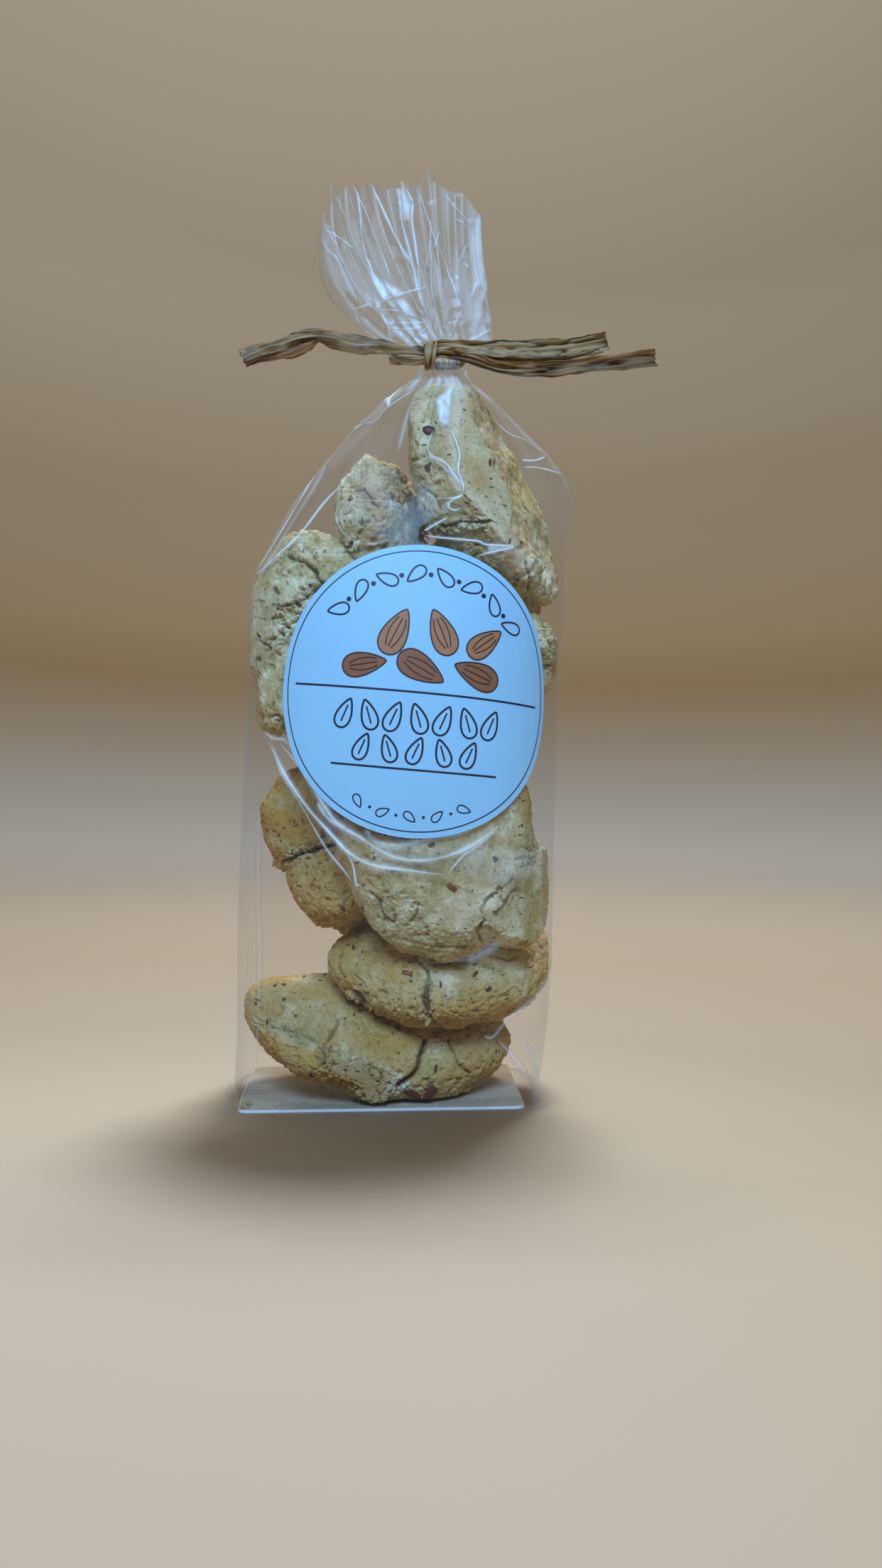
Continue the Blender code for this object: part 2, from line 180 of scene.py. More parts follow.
# Cracks that the photo shows: half width and depth, then the places of the line in photo pixels.
PHOTO_CRACKS = {
    "cookie_bottom": (
        (0.22, 1.5, ((479, 1427), (476, 1440), (466, 1457), (453, 1476), (458, 1486), (454, 1500))),
        (0.42, 2.4, ((600, 1462), (593, 1483), (590, 1502), (578, 1516), (560, 1531))),
        (0.25, 1.3, ((630, 1462), (642, 1483), (647, 1498), (655, 1505), (664, 1512))),
        (0.25, 0.9, ((375, 1430), (395, 1427), (401, 1408), (434, 1405))),
        (0.22, 0.8, ((462, 1481), (480, 1479), (492, 1490), (500, 1471))),
        (0.30, 0.9, ((380, 1445), (420, 1452), (449, 1470))),
    ),
    "cookie_second": (
        (0.30, 1.3, ((586, 1349), (603, 1365), (604, 1385), (596, 1404), (599, 1424), (612, 1443))),
        (0.75, 1.8, ((603, 1384), (598, 1404), (602, 1424))),
        (0.30, 0.9, ((480, 1340), (474, 1360), (482, 1375))),
        (0.60, 1.5, ((498, 1400), (510, 1412), (514, 1420))),
        (0.25, 0.6, ((741, 1345), (742, 1375), (735, 1400))),
    ),
    "cookie_front": (
        (0.25, 1.2, ((520, 1257), (534, 1268), (534, 1280), (541, 1292), (553, 1300))),
        (0.22, 0.9, ((590, 1272), (587, 1288), (578, 1298))),
        (0.22, 0.8, ((554, 1283), (555, 1300))),
        (0.32, 1.7, ((680, 1284), (694, 1268), (712, 1256), (727, 1243), (738, 1233))),
        (0.30, 1.3, ((680, 1284), (683, 1298), (672, 1312), (678, 1326))),
        (0.40, 1.6, ((700, 1290), (722, 1270), (740, 1252))),
        (0.25, 1.0, ((640, 1248), (655, 1255), (672, 1263))),
        (0.40, 1.3, ((738, 1210), (757, 1207), (772, 1202))),
        (0.40, 1.3, ((750, 1222), (768, 1212))),
        (0.25, 0.9, ((576, 1195), (573, 1208), (581, 1216), (592, 1222))),
        (0.30, 0.8, ((560, 1322), (610, 1335), (655, 1335))),
    ),
    "cookie_left": (
        (0.45, 1.9, ((388, 1217), (404, 1213), (418, 1202), (440, 1196), (470, 1188))),
        (0.30, 0.9, ((430, 1192), (446, 1186), (462, 1170))),
    ),
    "cookie_craggy": (
        (0.35, 1.6, ((405, 782), (415, 787), (428, 790), (444, 803), (446, 812), (455, 822))),
        (0.60, 1.7, ((414, 847), (421, 851))), (0.45, 1.5, ((383, 828), (388, 833))),
        (0.45, 1.6, ((397, 878), (404, 883))), (0.40, 1.4, ((392, 890), (398, 894))),
        (0.50, 1.6, ((354, 892), (360, 896))), (0.40, 1.4, ((372, 907), (378, 912))),
        (0.45, 1.5, ((354, 926), (360, 930))),
        (0.40, 1.3, ((350, 843), (372, 848), (395, 852), (417, 848), (436, 836), (455, 823))),
        (0.35, 0.9, ((350, 868), (372, 872), (395, 868), (402, 880), (420, 872))),
        (0.40, 1.0, ((352, 897), (372, 908), (392, 892), (402, 878))),
        (0.35, 0.8, ((356, 930), (365, 920), (390, 908), (405, 905))),
        (0.30, 1.2, ((378, 1010), (390, 1008), (400, 1016))),
    ),
    "cookie_peak": (
        (0.25, 1.1, ((500, 690), (512, 688), (520, 700), (524, 708), (536, 712))),
        (0.30, 1.4, ((480, 780), (486, 772), (492, 770), (494, 760))),
        (0.22, 0.8, ((505, 752), (513, 741), (520, 733))),
    ),
    "cookie_tall": (
        (0.25, 1.4, ((622, 742), (634, 741), (648, 735), (668, 736), (684, 735), (692, 731))),
        (0.25, 0.8, ((572, 652), (588, 646), (598, 641), (603, 632))),
        (0.25, 0.7, ((600, 690), (612, 700), (618, 716))),
        (0.40, 1.2, ((742, 790), (748, 812), (744, 832))),
    ),
}

# Broken, crumbly stretches that the photo shows: radius in millimetres, then a line in photo pixels.
CRUMBLY_STRETCHES = {
    "cookie_bottom": ((3.5, ((462, 1490), (520, 1512), (560, 1530))), (2.0, ((495, 1540), (540, 1548))),
                      (2.5, ((372, 1440), (440, 1465)))),
    "cookie_second": ((1.8, ((596, 1352), (602, 1385), (598, 1430))), (2.0, ((500, 1400), (516, 1425)))),
    "cookie_front": ((3.2, ((684, 1286), (712, 1254), (745, 1215))), (2.6, ((700, 1300), (740, 1262))),
                     (2.5, ((752, 1200), (770, 1235)))),
    "cookie_left": ((2.0, ((392, 1216), (430, 1200), (465, 1185))),),
    "cookie_craggy": ((5.5, ((352, 860), (400, 870), (440, 845))), (5.0, ((362, 905), (400, 895)))),
    "cookie_right": ((1.8, ((772, 905), (776, 940))),),
    "cookie_peak": ((2.0, ((484, 790), (500, 765))),),
    "cookie_tall": ((2.0, ((625, 742), (690, 735))), (3.0, ((745, 800), (768, 835)))),
}

# Almond pieces that the photo shows: cookie, photo pixel, length, width and how red their skin is.
PHOTO_ALMONDS = (
    ("cookie_tall", (605, 606), 3.0, 2.4, 0.9),
    ("cookie_tall", (690, 652), 2.4, 0.7, 0.9),
    ("cookie_peak", (493, 705), 2.2, 1.4, 0.3),
    ("cookie_peak", (552, 697), 1.6, 1.1, 0.9),
    ("cookie_front", (637, 1250), 2.8, 1.5, 0.4),
    ("cookie_front", (608, 1190), 1.6, 1.2, 0.9),
    ("cookie_front", (697, 1210), 1.6, 1.1, 0.85),
    ("cookie_second", (573, 1370), 3.0, 1.3, 0.35),
    ("cookie_second", (670, 1371), 2.0, 0.8, 0.6),
    ("cookie_second", (687, 1393), 1.5, 0.9, 1.0),
    ("cookie_bottom", (580, 1538), 5.4, 2.4, 0.6),
    ("cookie_bottom", (606, 1537), 4.2, 2.2, 0.7),
    ("cookie_bottom", (560, 1448), 1.3, 1.0, 0.7),
    ("cookie_left", (393, 1176), 1.4, 1.0, 0.5),
    ("cookie_left", (482, 1280), 1.2, 0.9, 0.8),
)
ALMONDS_PER_COOKIE = 4

# Crumbs on the card by photo pixel, with their size. None lies in front of the film.
PHOTO_CRUMBS = (
    ((481, 1556), 0.8), ((518, 1551), 1.1), ((500, 1549), 0.9), ((548, 1561), 0.6), ((573, 1561), 0.5),
    ((614, 1560), 0.6), ((692, 1551), 0.6), ((345, 1560), 1.6), ((351, 1556), 1.3), ((339, 1563), 1.1),
    ((347, 1564), 0.9), ((343, 1555), 1.0),
)
LOOSE_CRUMBS = 46
CRUMBS_FOREMOST = -17.2
CRUMB_TOAST = 0.15

# Creases of the film in front, whose glints are painted on as white: half width, whiteness, line in photo
# pixels.
BODY_CREASES = (
    (0.45, 0.85, ((588, 535), (570, 542), (548, 549), (543, 556), (549, 575))),
    (0.32, 0.90, ((541, 552), (515, 578), (496, 604), (470, 630), (444, 669), (411, 724), (379, 777),
                  (356, 812))),
    (0.20, 0.60, ((587, 542), (574, 555), (544, 575), (530, 592), (512, 596), (505, 588), (513, 578),
                  (540, 563))),
    (0.22, 0.70, ((512, 596), (489, 611), (463, 630), (450, 646))),
    (0.34, 0.85, ((492, 672), (457, 708), (427, 747), (401, 773), (362, 809), (353, 817))),
    (0.90, 0.20, ((470, 628), (450, 676), (418, 728), (385, 783), (362, 820))),
    (0.60, 0.25, ((592, 545), (578, 572), (570, 600), (560, 640))),
    (0.20, 0.35, ((484, 690), (494, 702), (528, 705), (541, 705), (568, 710))),
    (0.20, 0.40, ((479, 702), (473, 728), (483, 750), (502, 763), (522, 767), (545, 764))),
    (0.24, 0.90, ((596, 749), (612, 739), (632, 728))),
    (0.24, 0.95, ((632, 598), (644, 627), (647, 643), (645, 663), (652, 682), (652, 696))),
    (0.22, 0.80, ((612, 603), (603, 624), (606, 640), (626, 650), (642, 672), (650, 685))),
    (0.22, 0.90, ((618, 702), (636, 702), (653, 697), (634, 706), (632, 714), (640, 719), (652, 714))),
    (0.28, 0.90, ((596, 754), (619, 757), (671, 762), (684, 767), (723, 770), (694, 777), (665, 785))),
    (0.20, 0.60, ((596, 754), (603, 764), (612, 768))),
    (0.22, 0.60, ((694, 590), (717, 611), (740, 620), (762, 635), (788, 635))),
    (0.24, 0.80, ((733, 648), (756, 648), (788, 633))),
    (0.24, 0.75, ((736, 659), (753, 658), (779, 664), (798, 672), (805, 677))),
    (0.40, 0.30, ((655, 524), (694, 555), (743, 594), (775, 624), (788, 637), (805, 672), (808, 711),
                  (805, 780))),
    (0.40, 0.25, ((806, 700), (803, 800), (796, 900))),
    (0.60, 0.95, ((380, 1036), (396, 1080), (413, 1109), (437, 1142), (466, 1174), (487, 1197), (504, 1209),
                  (528, 1219), (563, 1224), (592, 1228), (627, 1232))),
    (0.28, 0.70, ((372, 1032), (386, 1060), (398, 1092), (425, 1135), (457, 1191), (478, 1218), (501, 1247))),
    (0.65, 0.80, ((395, 1046), (425, 1086), (440, 1109), (457, 1136), (478, 1162), (504, 1177), (534, 1197),
                  (563, 1209), (604, 1211), (645, 1200), (677, 1183), (712, 1155))),
    (0.90, 0.70, ((446, 1128), (463, 1153), (490, 1168))),
    (0.26, 0.85, ((630, 1232), (651, 1206), (677, 1188), (712, 1155))),
    (0.28, 0.80, ((487, 1197), (498, 1221), (501, 1244), (507, 1247))),
    (0.90, 0.35, ((510, 1168), (531, 1186), (563, 1191), (598, 1183), (633, 1177), (665, 1170))),
    (0.50, 0.50, ((372, 1030), (385, 1040), (404, 1044), (420, 1075))),
    (0.50, 0.25, ((786, 1090), (787, 1197), (784, 1300), (779, 1400))),
    (0.35, 0.20, ((783, 1106), (759, 1147), (751, 1168))),
    (0.45, 0.22, ((364, 1090), (364, 1268), (366, 1344), (362, 1500))),
    (0.35, 0.18, ((330, 1240), (352, 1330), (345, 1440))),
    (0.40, 0.35, ((789, 1322), (759, 1395), (716, 1434), (694, 1460), (680, 1458))),
    (0.45, 0.40, ((700, 1463), (733, 1502), (759, 1554))),
    (0.35, 0.30, ((729, 1450), (749, 1496), (765, 1515), (780, 1554))),
    (0.30, 0.35, ((735, 1470), (747, 1476), (744, 1490))),
    (0.30, 0.45, ((333, 1568), (345, 1535), (359, 1500))),
)
# Painted highlights and sheen on the film in front: whiteness, then a polygon in photo pixels.
BODY_PATCHES = (
    (0.80, ((639, 540), (611, 562), (617, 594), (624, 601), (633, 599), (636, 571))),
    (0.85, ((684, 766), (686, 777), (705, 776), (723, 770), (700, 767))),
    (0.80, ((541, 549), (540, 560), (546, 572), (551, 572), (549, 556))),
    (0.65, ((787, 655), (801, 676), (804, 668))),
    (0.28, ((636, 1352), (668, 1342), (691, 1325), (708, 1325), (702, 1340), (664, 1358))),
    (0.30, ((606, 511), (600, 526), (606, 532), (618, 520))),
    (0.08, ((500, 668), (520, 650), (560, 660), (560, 720), (530, 750), (490, 740))),
    (0.13, ((640, 1205), (690, 1188), (758, 1196), (762, 1232), (700, 1250), (650, 1236))),
    (0.10, ((560, 1180), (640, 1190), (620, 1222), (560, 1215))),
)
# Creases of the fan, whose glints are painted on as white: half width, whiteness, line in photo pixels.
FAN_CREASES = (
    (0.20, 0.75, ((465, 262), (477, 285), (489, 311), (499, 341), (509, 364), (519, 384), (527, 404),
                  (531, 436))),
    (0.22, 0.80, ((487, 263), (495, 285), (505, 315), (512, 345))),
    (0.45, 0.95, ((497, 261), (504, 279), (509, 325), (515, 358), (523, 380), (529, 400))),
    (0.24, 0.90, ((499, 266), (513, 295), (529, 333), (541, 364), (549, 394))),
    (0.48, 0.85, ((521, 258), (533, 283), (545, 309), (558, 337), (574, 362), (584, 380))),
    (0.55, 0.90, ((561, 264), (566, 309), (576, 349), (584, 384), (588, 404), (596, 428), (606, 451))),
    (0.30, 0.90, ((572, 264), (581, 287), (580, 309), (586, 353), (590, 388), (592, 414), (602, 445))),
    (0.26, 0.50, ((586, 256), (594, 281), (606, 317), (614, 341), (626, 368), (635, 394), (643, 416),
                  (647, 443))),
    (0.24, 0.55, ((607, 300), (606, 341), (600, 372), (597, 390))),
    (0.24, 0.55, ((607, 317), (607, 400), (612, 428), (618, 467))),
    (0.26, 0.85, ((618, 325), (615, 337), (612, 350))),
    (0.40, 0.35, ((624, 270), (637, 287), (655, 307), (665, 315))),
    (0.40, 0.60, ((641, 308), (648, 312), (655, 316))),
    (0.45, 0.35, ((675, 299), (671, 319), (673, 368), (681, 408), (689, 443))),
    (0.26, 0.80, ((653, 370), (660, 377))),
    (0.28, 0.80, ((641, 386), (645, 395))),
    (0.30, 0.80, ((673, 394), (668, 408), (662, 420))),
    (0.40, 0.35, ((659, 341), (651, 357), (643, 374))),
    (0.22, 0.75, ((531, 436), (558, 437), (590, 447), (606, 457))),
    (0.22, 0.75, ((531, 430), (546, 420), (578, 410), (604, 404))),
    (0.22, 0.70, ((543, 453), (575, 455), (606, 453))),
    (0.22, 0.70, ((539, 461), (570, 463), (600, 460))),
    (0.24, 0.75, ((535, 438), (546, 457), (548, 473), (558, 487))),
    (0.22, 0.70, ((548, 440), (557, 447), (548, 463), (555, 478))),
    (0.30, 0.60, ((647, 443), (640, 460), (631, 479))),
    (0.30, 0.60, ((693, 463), (672, 475), (655, 483))),
    (0.30, 0.60, ((606, 457), (590, 470), (580, 486))),
    (0.30, 0.55, ((450, 321), (469, 329), (485, 341), (501, 351))),
    (0.45, 0.35, ((451, 329), (460, 349), (475, 366), (489, 396), (505, 428))),
    (0.28, 0.50, ((497, 436), (512, 431), (527, 427))),
    (0.26, 0.60, ((499, 439), (509, 461), (525, 471))),
    (0.30, 0.40, ((447, 300), (465, 330), (478, 352))),
    (0.30, 0.45, ((586, 256), (580, 262), (575, 262))),
    (0.35, 0.25, ((586, 256), (604, 238), (622, 250), (637, 272), (657, 278), (676, 300))),
)
# Painted highlights on the fan: whiteness, then a polygon in photo pixels.
FAN_PATCHES = (
    (0.95, ((517, 372), (529, 420), (531, 436), (546, 420), (572, 412), (554, 402), (531, 388))),
    (0.6, ((540, 422), (570, 420), (592, 447), (560, 440))),
    (0.55, ((557, 267), (568, 263), (582, 288), (578, 310), (568, 312))),
    (0.85, ((599, 286), (614, 279), (616, 284), (606, 290))),
    (0.30, ((548, 466), (560, 445), (600, 450), (620, 480), (570, 489))),
)

# The fan's folds from left to right where they meet its cut edge: photo pixels, and how far back they lie.
FAN_FRONT_FOLDS = (
    ((449, 331), 3.0), ((457, 292), 0.5), ((466, 261), -0.5), ((479, 266), 2.2), ((488, 262), -1.2),
    ((493, 266), 0.8), ((498, 259), -1.6), ((510, 262), 1.0), ((521, 257), -1.6), ((539, 263), 1.6),
    ((557, 265), -1.8), ((577, 262), -1.0), ((588, 262), 2.4), ((605, 238), 0.0), ((620, 262), 2.8),
    ((641, 272), -0.8), ((658, 288), 2.2), ((678, 303), 0.5),
)
FAN_BACK_FOLDS = (
    ((668, 292), 4.0), ((650, 270), 6.0), ((630, 272), 4.2), ((612, 255), 6.4), ((590, 268), 4.4),
    ((565, 255), 6.2), ((545, 268), 4.4), ((526, 262), 6.2), ((505, 272), 4.6), ((486, 266), 6.0),
    ((468, 285), 4.4), ((455, 300), 5.0),
)
FAN_BOTTOM = 174.0

LABEL_DIAMETER = 63.5
LABEL_X = 8.3
LABEL_HEIGHT = 92.6
LABEL_TURN = math.radians(-5.0)
LABEL_PIXEL = np.array((583.0, 973.0))
LABEL_HALF_PIXELS = np.array((186.0, 207.0))
LABEL_LIFT = 0.3
LABEL_THICKNESS = 0.3
INK_LIFT = LABEL_LIFT + LABEL_THICKNESS + 0.03

# Raffia strips: x, y, z, width and twist in degrees, from the knot outwards.
RAFFIA_STRIPS = {
    "left_tail": (
        (12.5, -7.6, 173.0, 2.0, 0), (6.9, -7.5, 173.6, 2.2, 8), (2.8, -7.3, 174.1, 2.8, 10),
        (-1.5, -7.0, 174.8, 3.8, 12), (-6.3, -6.8, 175.0, 4.4, 12), (-11.0, -6.7, 176.0, 4.0, -5),
        (-15.4, -6.5, 177.0, 3.0, -30), (-19.5, -6.5, 176.3, 2.6, -20), (-24.5, -6.7, 174.3, 3.4, 0),
        (-29.3, -6.8, 172.6, 4.2, 5), (-32.4, -6.8, 171.2, 4.2, 0),
    ),
    "left_flap": (
        (-14.6, -6.3, 176.6, 1.0, 0), (-17.5, -5.9, 175.0, 3.0, 10), (-20.5, -5.7, 173.8, 3.6, 15),
        (-24.5, -5.9, 172.7, 3.0, 10), (-30.0, -6.2, 171.0, 2.4, 0),
    ),
    "left_stub": (
        (12.0, -8.4, 171.3, 1.8, 0), (8.5, -8.4, 170.9, 1.9, 0), (5.0, -8.3, 170.8, 2.1, 10),
        (1.4, -8.0, 171.1, 2.4, 10),
    ),
    "upper_right_tail": (
        (9.8, -7.8, 173.9, 1.9, 0), (13.5, -8.0, 174.6, 2.2, 5), (16.8, -7.9, 174.5, 2.7, 8),
        (23.5, -7.5, 174.2, 3.6, 10), (30.2, -7.2, 174.2, 4.4, -8), (36.9, -7.0, 174.5, 4.4, -5),
        (43.6, -7.0, 175.0, 4.2, 8), (49.0, -7.0, 176.0, 4.0, 15), (52.6, -7.0, 176.9, 4.2, 25),
    ),
    "upper_right_lower": (
        (16.0, -7.2, 173.2, 1.2, 0), (23.5, -6.9, 172.4, 2.2, 10), (30.2, -6.6, 171.9, 3.0, 15),
        (38.0, -6.4, 172.2, 2.8, 10), (45.0, -6.4, 173.4, 1.8, 0), (51.5, -6.6, 175.2, 2.2, -20),
    ),
    "lower_right_tail": (
        (10.5, -8.4, 172.0, 1.8, 0), (15.0, -8.7, 172.2, 2.1, 0), (21.0, -8.7, 171.3, 2.4, 10),
        (26.8, -8.8, 169.5, 2.8, 18), (33.5, -8.8, 168.9, 3.1, 12), (40.2, -8.7, 169.3, 3.5, 0),
        (46.9, -8.6, 170.1, 3.8, -8), (53.7, -8.5, 170.9, 3.9, -4), (64.2, -8.3, 172.6, 4.1, 0),
    ),
}
KNOT_WRAP = (
    (11.6, -6.4, 175.3, 2.4, 0), (11.4, -9.0, 174.9, 2.6, 0), (11.2, -10.2, 173.2, 3.0, 0),
    (11.0, -10.2, 171.4, 2.8, 0), (10.9, -8.6, 169.9, 2.4, 0), (10.9, -6.2, 169.8, 2.2, 0),
)
NECK_TURNS = 2.6
TURNS_LOWEST = 174.2
TURNS_RISE = 1.2
TURN_WIDTH = 1.3


def unit(vectors):
    """The same directions at length one."""
    vectors = np.asarray(vectors, float)
    return vectors / np.linalg.norm(vectors, axis=-1, keepdims=True)


def smooth_step(low, high, value):
    """0 up to low, 1 from high on, with a smooth way between. Low may be the higher of the two."""
    share = np.clip((np.asarray(value, float) - low) / (high - low), 0, 1)
    return share * share * (3 - 2 * share)


def full_turn(count):
    """Even steps of angle round a circle, without its end."""
    return 2 * math.pi * np.arange(count) / count


def length_along(line):
    """The length of a line up to each of its points."""
    return np.concatenate([[0], np.cumsum(np.linalg.norm(np.diff(line, axis=0), axis=1))])


LATTICE_SIZE = 256
LATTICE_RANDOM = np.random.default_rng(11)
LATTICE_ORDER = LATTICE_RANDOM.permutation(LATTICE_SIZE)
LATTICE_SLOPES = unit(LATTICE_RANDOM.normal(size=(LATTICE_SIZE, 3)))
NOISE_GAIN = 1.7


def lattice_pick(index):
    """Each lattice cell's own random number, below the lattice's size."""
    pick = LATTICE_ORDER[index[:, 0] % LATTICE_SIZE]
    pick = LATTICE_ORDER[(pick + index[:, 1]) % LATTICE_SIZE]
    return LATTICE_ORDER[(pick + index[:, 2]) % LATTICE_SIZE]


def noise(points, size, seed=0):
    """Smooth random values, mostly from -1 to 1, with lumps about one size wide."""
    place = np.asarray(points, float) / size + seed * 17.37
    cell = np.floor(place).astype(int)
    inside = place - cell
    blend = inside**3 * (inside * (inside * 6 - 15) + 10)
    total = np.zeros(len(place))
    for corner in np.ndindex(2, 2, 2):
        slope = LATTICE_SLOPES[lattice_pick(cell + corner)]
        weight = np.prod(np.where(corner, blend, 1 - blend), axis=1)
        total += weight * np.sum(slope * (inside - corner), axis=1)
    return total * NOISE_GAIN


def clumps(points, size, seed=0):
    """Rounded clumps packed together: the gap to the next one in millimetres, and each clump's own number."""
    place = np.asarray(points, float) / size + seed * 7.31
    cell = np.floor(place).astype(int)
    nearest, second = np.full(len(place), 9.0), np.full(len(place), 9.0)
    number = np.zeros(len(place))
    for step in np.ndindex(3, 3, 3):
        index = cell + step - 1
        pick = lattice_pick(index)
        away = np.linalg.norm(place - index - 0.5 - 0.42 * LATTICE_SLOPES[pick], axis=1)
        closer = away < nearest
        second = np.where(closer, nearest, np.minimum(second, away))
        number = np.where(closer, pick / LATTICE_SIZE, number)
        nearest = np.where(closer, away, nearest)
    return (second - nearest) * size, number


def grid_noise(size, seed, *parts):
    """Noise over a grid whose places are given part by part."""
    places = np.stack(parts, -1)
    return noise(places.reshape(-1, 3), size, seed).reshape(places.shape[:-1])


def photo_pixels(points):
    """Where the points show in the photo, and how many millimetres a pixel spans there."""
    away = np.asarray(points, float) - CAMERA_PLACE
    depth = away @ CAMERA_FORWARD
    across = PHOTO_WIDTH / 2 + FOCAL_PIXELS * (away @ CAMERA_RIGHT) / depth
    down = PHOTO_HEIGHT / 2 - FOCAL_PIXELS * away[..., 2] / depth
    return np.stack([across, down], axis=-1), depth / FOCAL_PIXELS


def photo_ray(pixel):
    """The direction from the camera through a photo pixel."""
    across = pixel[0] - PHOTO_WIDTH / 2
    up = PHOTO_HEIGHT / 2 - pixel[1]
    return unit(CAMERA_FORWARD * FOCAL_PIXELS + CAMERA_RIGHT * across + np.array((0, 0, up)))


def at_depth(pixel, y):
    """The point at a photo pixel whose distance behind the pack's middle is y."""
    ray = photo_ray(pixel)
    return CAMERA_PLACE + ray * (y - CAMERA_PLACE[1]) / ray[1]


def spline(points, count):
    """A smooth curve through rows of numbers, at even steps of its own parameter."""
    points = np.array(points, float)
    padded = np.vstack([2 * points[0] - points[1], points, 2 * points[-1] - points[-2]])
    place = np.linspace(0, len(points) - 1.0001, count)
    index = place.astype(int)
    t = (place - index)[:, None]
    before, start, end, after = (padded[index + step] for step in range(4))
    return 0.5 * (
        2 * start + (end - before) * t + (2 * before - 5 * start + 4 * end - after) * t**2
        + (3 * start - before - 3 * end + after) * t**3
    )


def distance_to_line(places, line):
    """How far each photo place is from a line through the given pixels."""
    nearest = np.full(len(places), np.inf)
    for start, end in zip(np.array(line[:-1], float), np.array(line[1:], float)):
        run = end - start
        share = np.clip(((places - start) @ run) / max(run @ run, 1e-9), 0, 1)
        gap = places - start - share[:, None] * run
        nearest = np.minimum(nearest, np.hypot(gap[:, 0], gap[:, 1]))
    return nearest


def inside_polygon(places, corners):
    """Whether each photo place lies inside the polygon."""
    inside = np.zeros(len(places), bool)
    corners = np.array(corners, float)
    for start, end in zip(corners, np.roll(corners, -1, axis=0)):
        crosses = (start[1] > places[:, 1]) != (end[1] > places[:, 1])
        rise = end[1] - start[1] if end[1] != start[1] else 1e-9
        edge = start[0] + (places[:, 1] - start[1]) / rise * (end[0] - start[0])
        inside ^= crosses & (places[:, 0] < edge)
    return inside


def grid_faces(rows, columns, closed=False):
    """Quads over a grid of points. A closed grid joins its last column to its first."""
    row, column = np.meshgrid(np.arange(rows - 1), np.arange(columns - (not closed)), indexing="ij")
    after = (column + 1) % columns
    here, above = row * columns, (row + 1) * columns
    return np.stack([here + column, here + after, above + after, above + column], axis=-1).reshape(-1, 4)


def capped_faces(rows, columns, start=0):
    """Quads of a closed grid, with a face over each end."""
    faces = (grid_faces(rows, columns, closed=True) + start).tolist()
    first = list(range(start, start + columns))
    last = [index + (rows - 1) * columns for index in first]
    return faces + [first[::-1], last]


def mesh_from(name, points, faces):
    """A smooth-shaded mesh from points in millimetres."""
    mesh = bpy.data.meshes.new(name)
    places = np.asarray(points, float).reshape(-1, 3) * MM
    mesh.from_pydata(places.tolist(), [], [list(face) for face in faces])
    mesh.validate()
    mesh.shade_smooth()
    return mesh


def joined_grids(grids):
    """Points and quads of several grids, each given as an array of points and whether it is closed."""
    points, faces, start = [], [], 0
    for grid, closed in grids:
        rows, columns = grid.shape[:2]
        points.append(grid.reshape(-1, 3))
        faces.append(grid_faces(rows, columns, closed) + start)
        start += rows * columns
    return np.concatenate(points), np.concatenate(faces)


def place_points(mesh, points):
    mesh.vertices.foreach_set("co", (points * MM).astype(np.float32).ravel())
    mesh.update()


def point_normals(mesh):
    normals = np.empty(len(mesh.vertices) * 3, np.float32)
    mesh.vertex_normals.foreach_get("vector", normals)
    return normals.reshape(-1, 3).astype(float)


def set_values(mesh, name, values):
    """Stores one number for each point, for a material to read."""
    attribute = mesh.attributes.new(name, "FLOAT", "POINT")
    attribute.data.foreach_set("value", np.asarray(values, np.float32).ravel())


def add_piece(name, mesh, material):
    """Links a piece of the pack and lets it ride on the pack's body."""
    piece = bpy.data.objects.new(name, mesh)
    mesh.materials.clear()
    mesh.materials.append(material)
    bpy.context.scene.collection.objects.link(piece)
    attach(piece, BODY)
    return piece


def search_tree(mesh):
    """A ray search over a mesh, in millimetres."""
    points = np.empty(len(mesh.vertices) * 3, np.float32)
    mesh.vertices.foreach_get("co", points)
    polygons = [tuple(polygon.vertices) for polygon in mesh.polygons]
    return BVHTree.FromPolygons((points.reshape(-1, 3) / MM).tolist(), polygons)


def colour(red, green, blue):
    """A linear colour from the 0 to 255 values that a screen shows."""
    share = np.array((red, green, blue)) / 255
    linear = np.where(share <= 0.04045, share / 12.92, ((share + 0.055) / 1.055) ** 2.4)
    return (*linear.tolist(), 1.0)


def new_material(name):
    """A material with nodes, as its node tree and its Principled shader."""
    made = bpy.data.materials.new(name)
    made.use_nodes = True
    return made, made.node_tree, made.node_tree.nodes["Principled BSDF"]


def add_node(tree, kind, inputs=None, **settings):
    """A shader node. Its inputs are values, or sockets to link from."""
    made = tree.nodes.new("ShaderNode" + kind)
    for name, value in settings.items():
        setattr(made, name, value)
    for name, value in (inputs or {}).items():
        if isinstance(value, bpy.types.NodeSocket):
            tree.links.new(value, made.inputs[name])
        else:
            made.inputs[name].default_value = value
    return made


def math_node(tree, operation, first, second=0.5, clamp=False):
    return add_node(tree, "Math", {0: first, 1: second}, operation=operation, use_clamp=clamp).outputs[0]


def vector_node(tree, operation, first, second=(0.0, 0.0, 0.0)):
    return add_node(tree, "VectorMath", {0: first, 1: second}, operation=operation)


def mix_colours(tree, share, first, second):
    made = tree.nodes.new("ShaderNodeMix")
    made.data_type = "RGBA"
    for socket, value in zip((made.inputs[0], made.inputs[6], made.inputs[7]), (share, first, second)):
        if isinstance(value, bpy.types.NodeSocket):
            tree.links.new(value, socket)
        else:
            socket.default_value = value
    return made.outputs[2]


def ramp(tree, value, stops):
    """A colour ramp through stops of a place and a screen colour."""
    made = add_node(tree, "ValToRGB", {"Fac": value})
    elements = made.color_ramp.elements
    for element, (place, shade) in zip(elements, stops):
        element.position = place
        element.color = colour(*shade)
    for place, shade in stops[len(elements):]:
        elements.new(place).color = colour(*shade)
    return made.outputs["Color"]


def stored(tree, name):
    return add_node(tree, "Attribute", attribute_name=name).outputs["Fac"]


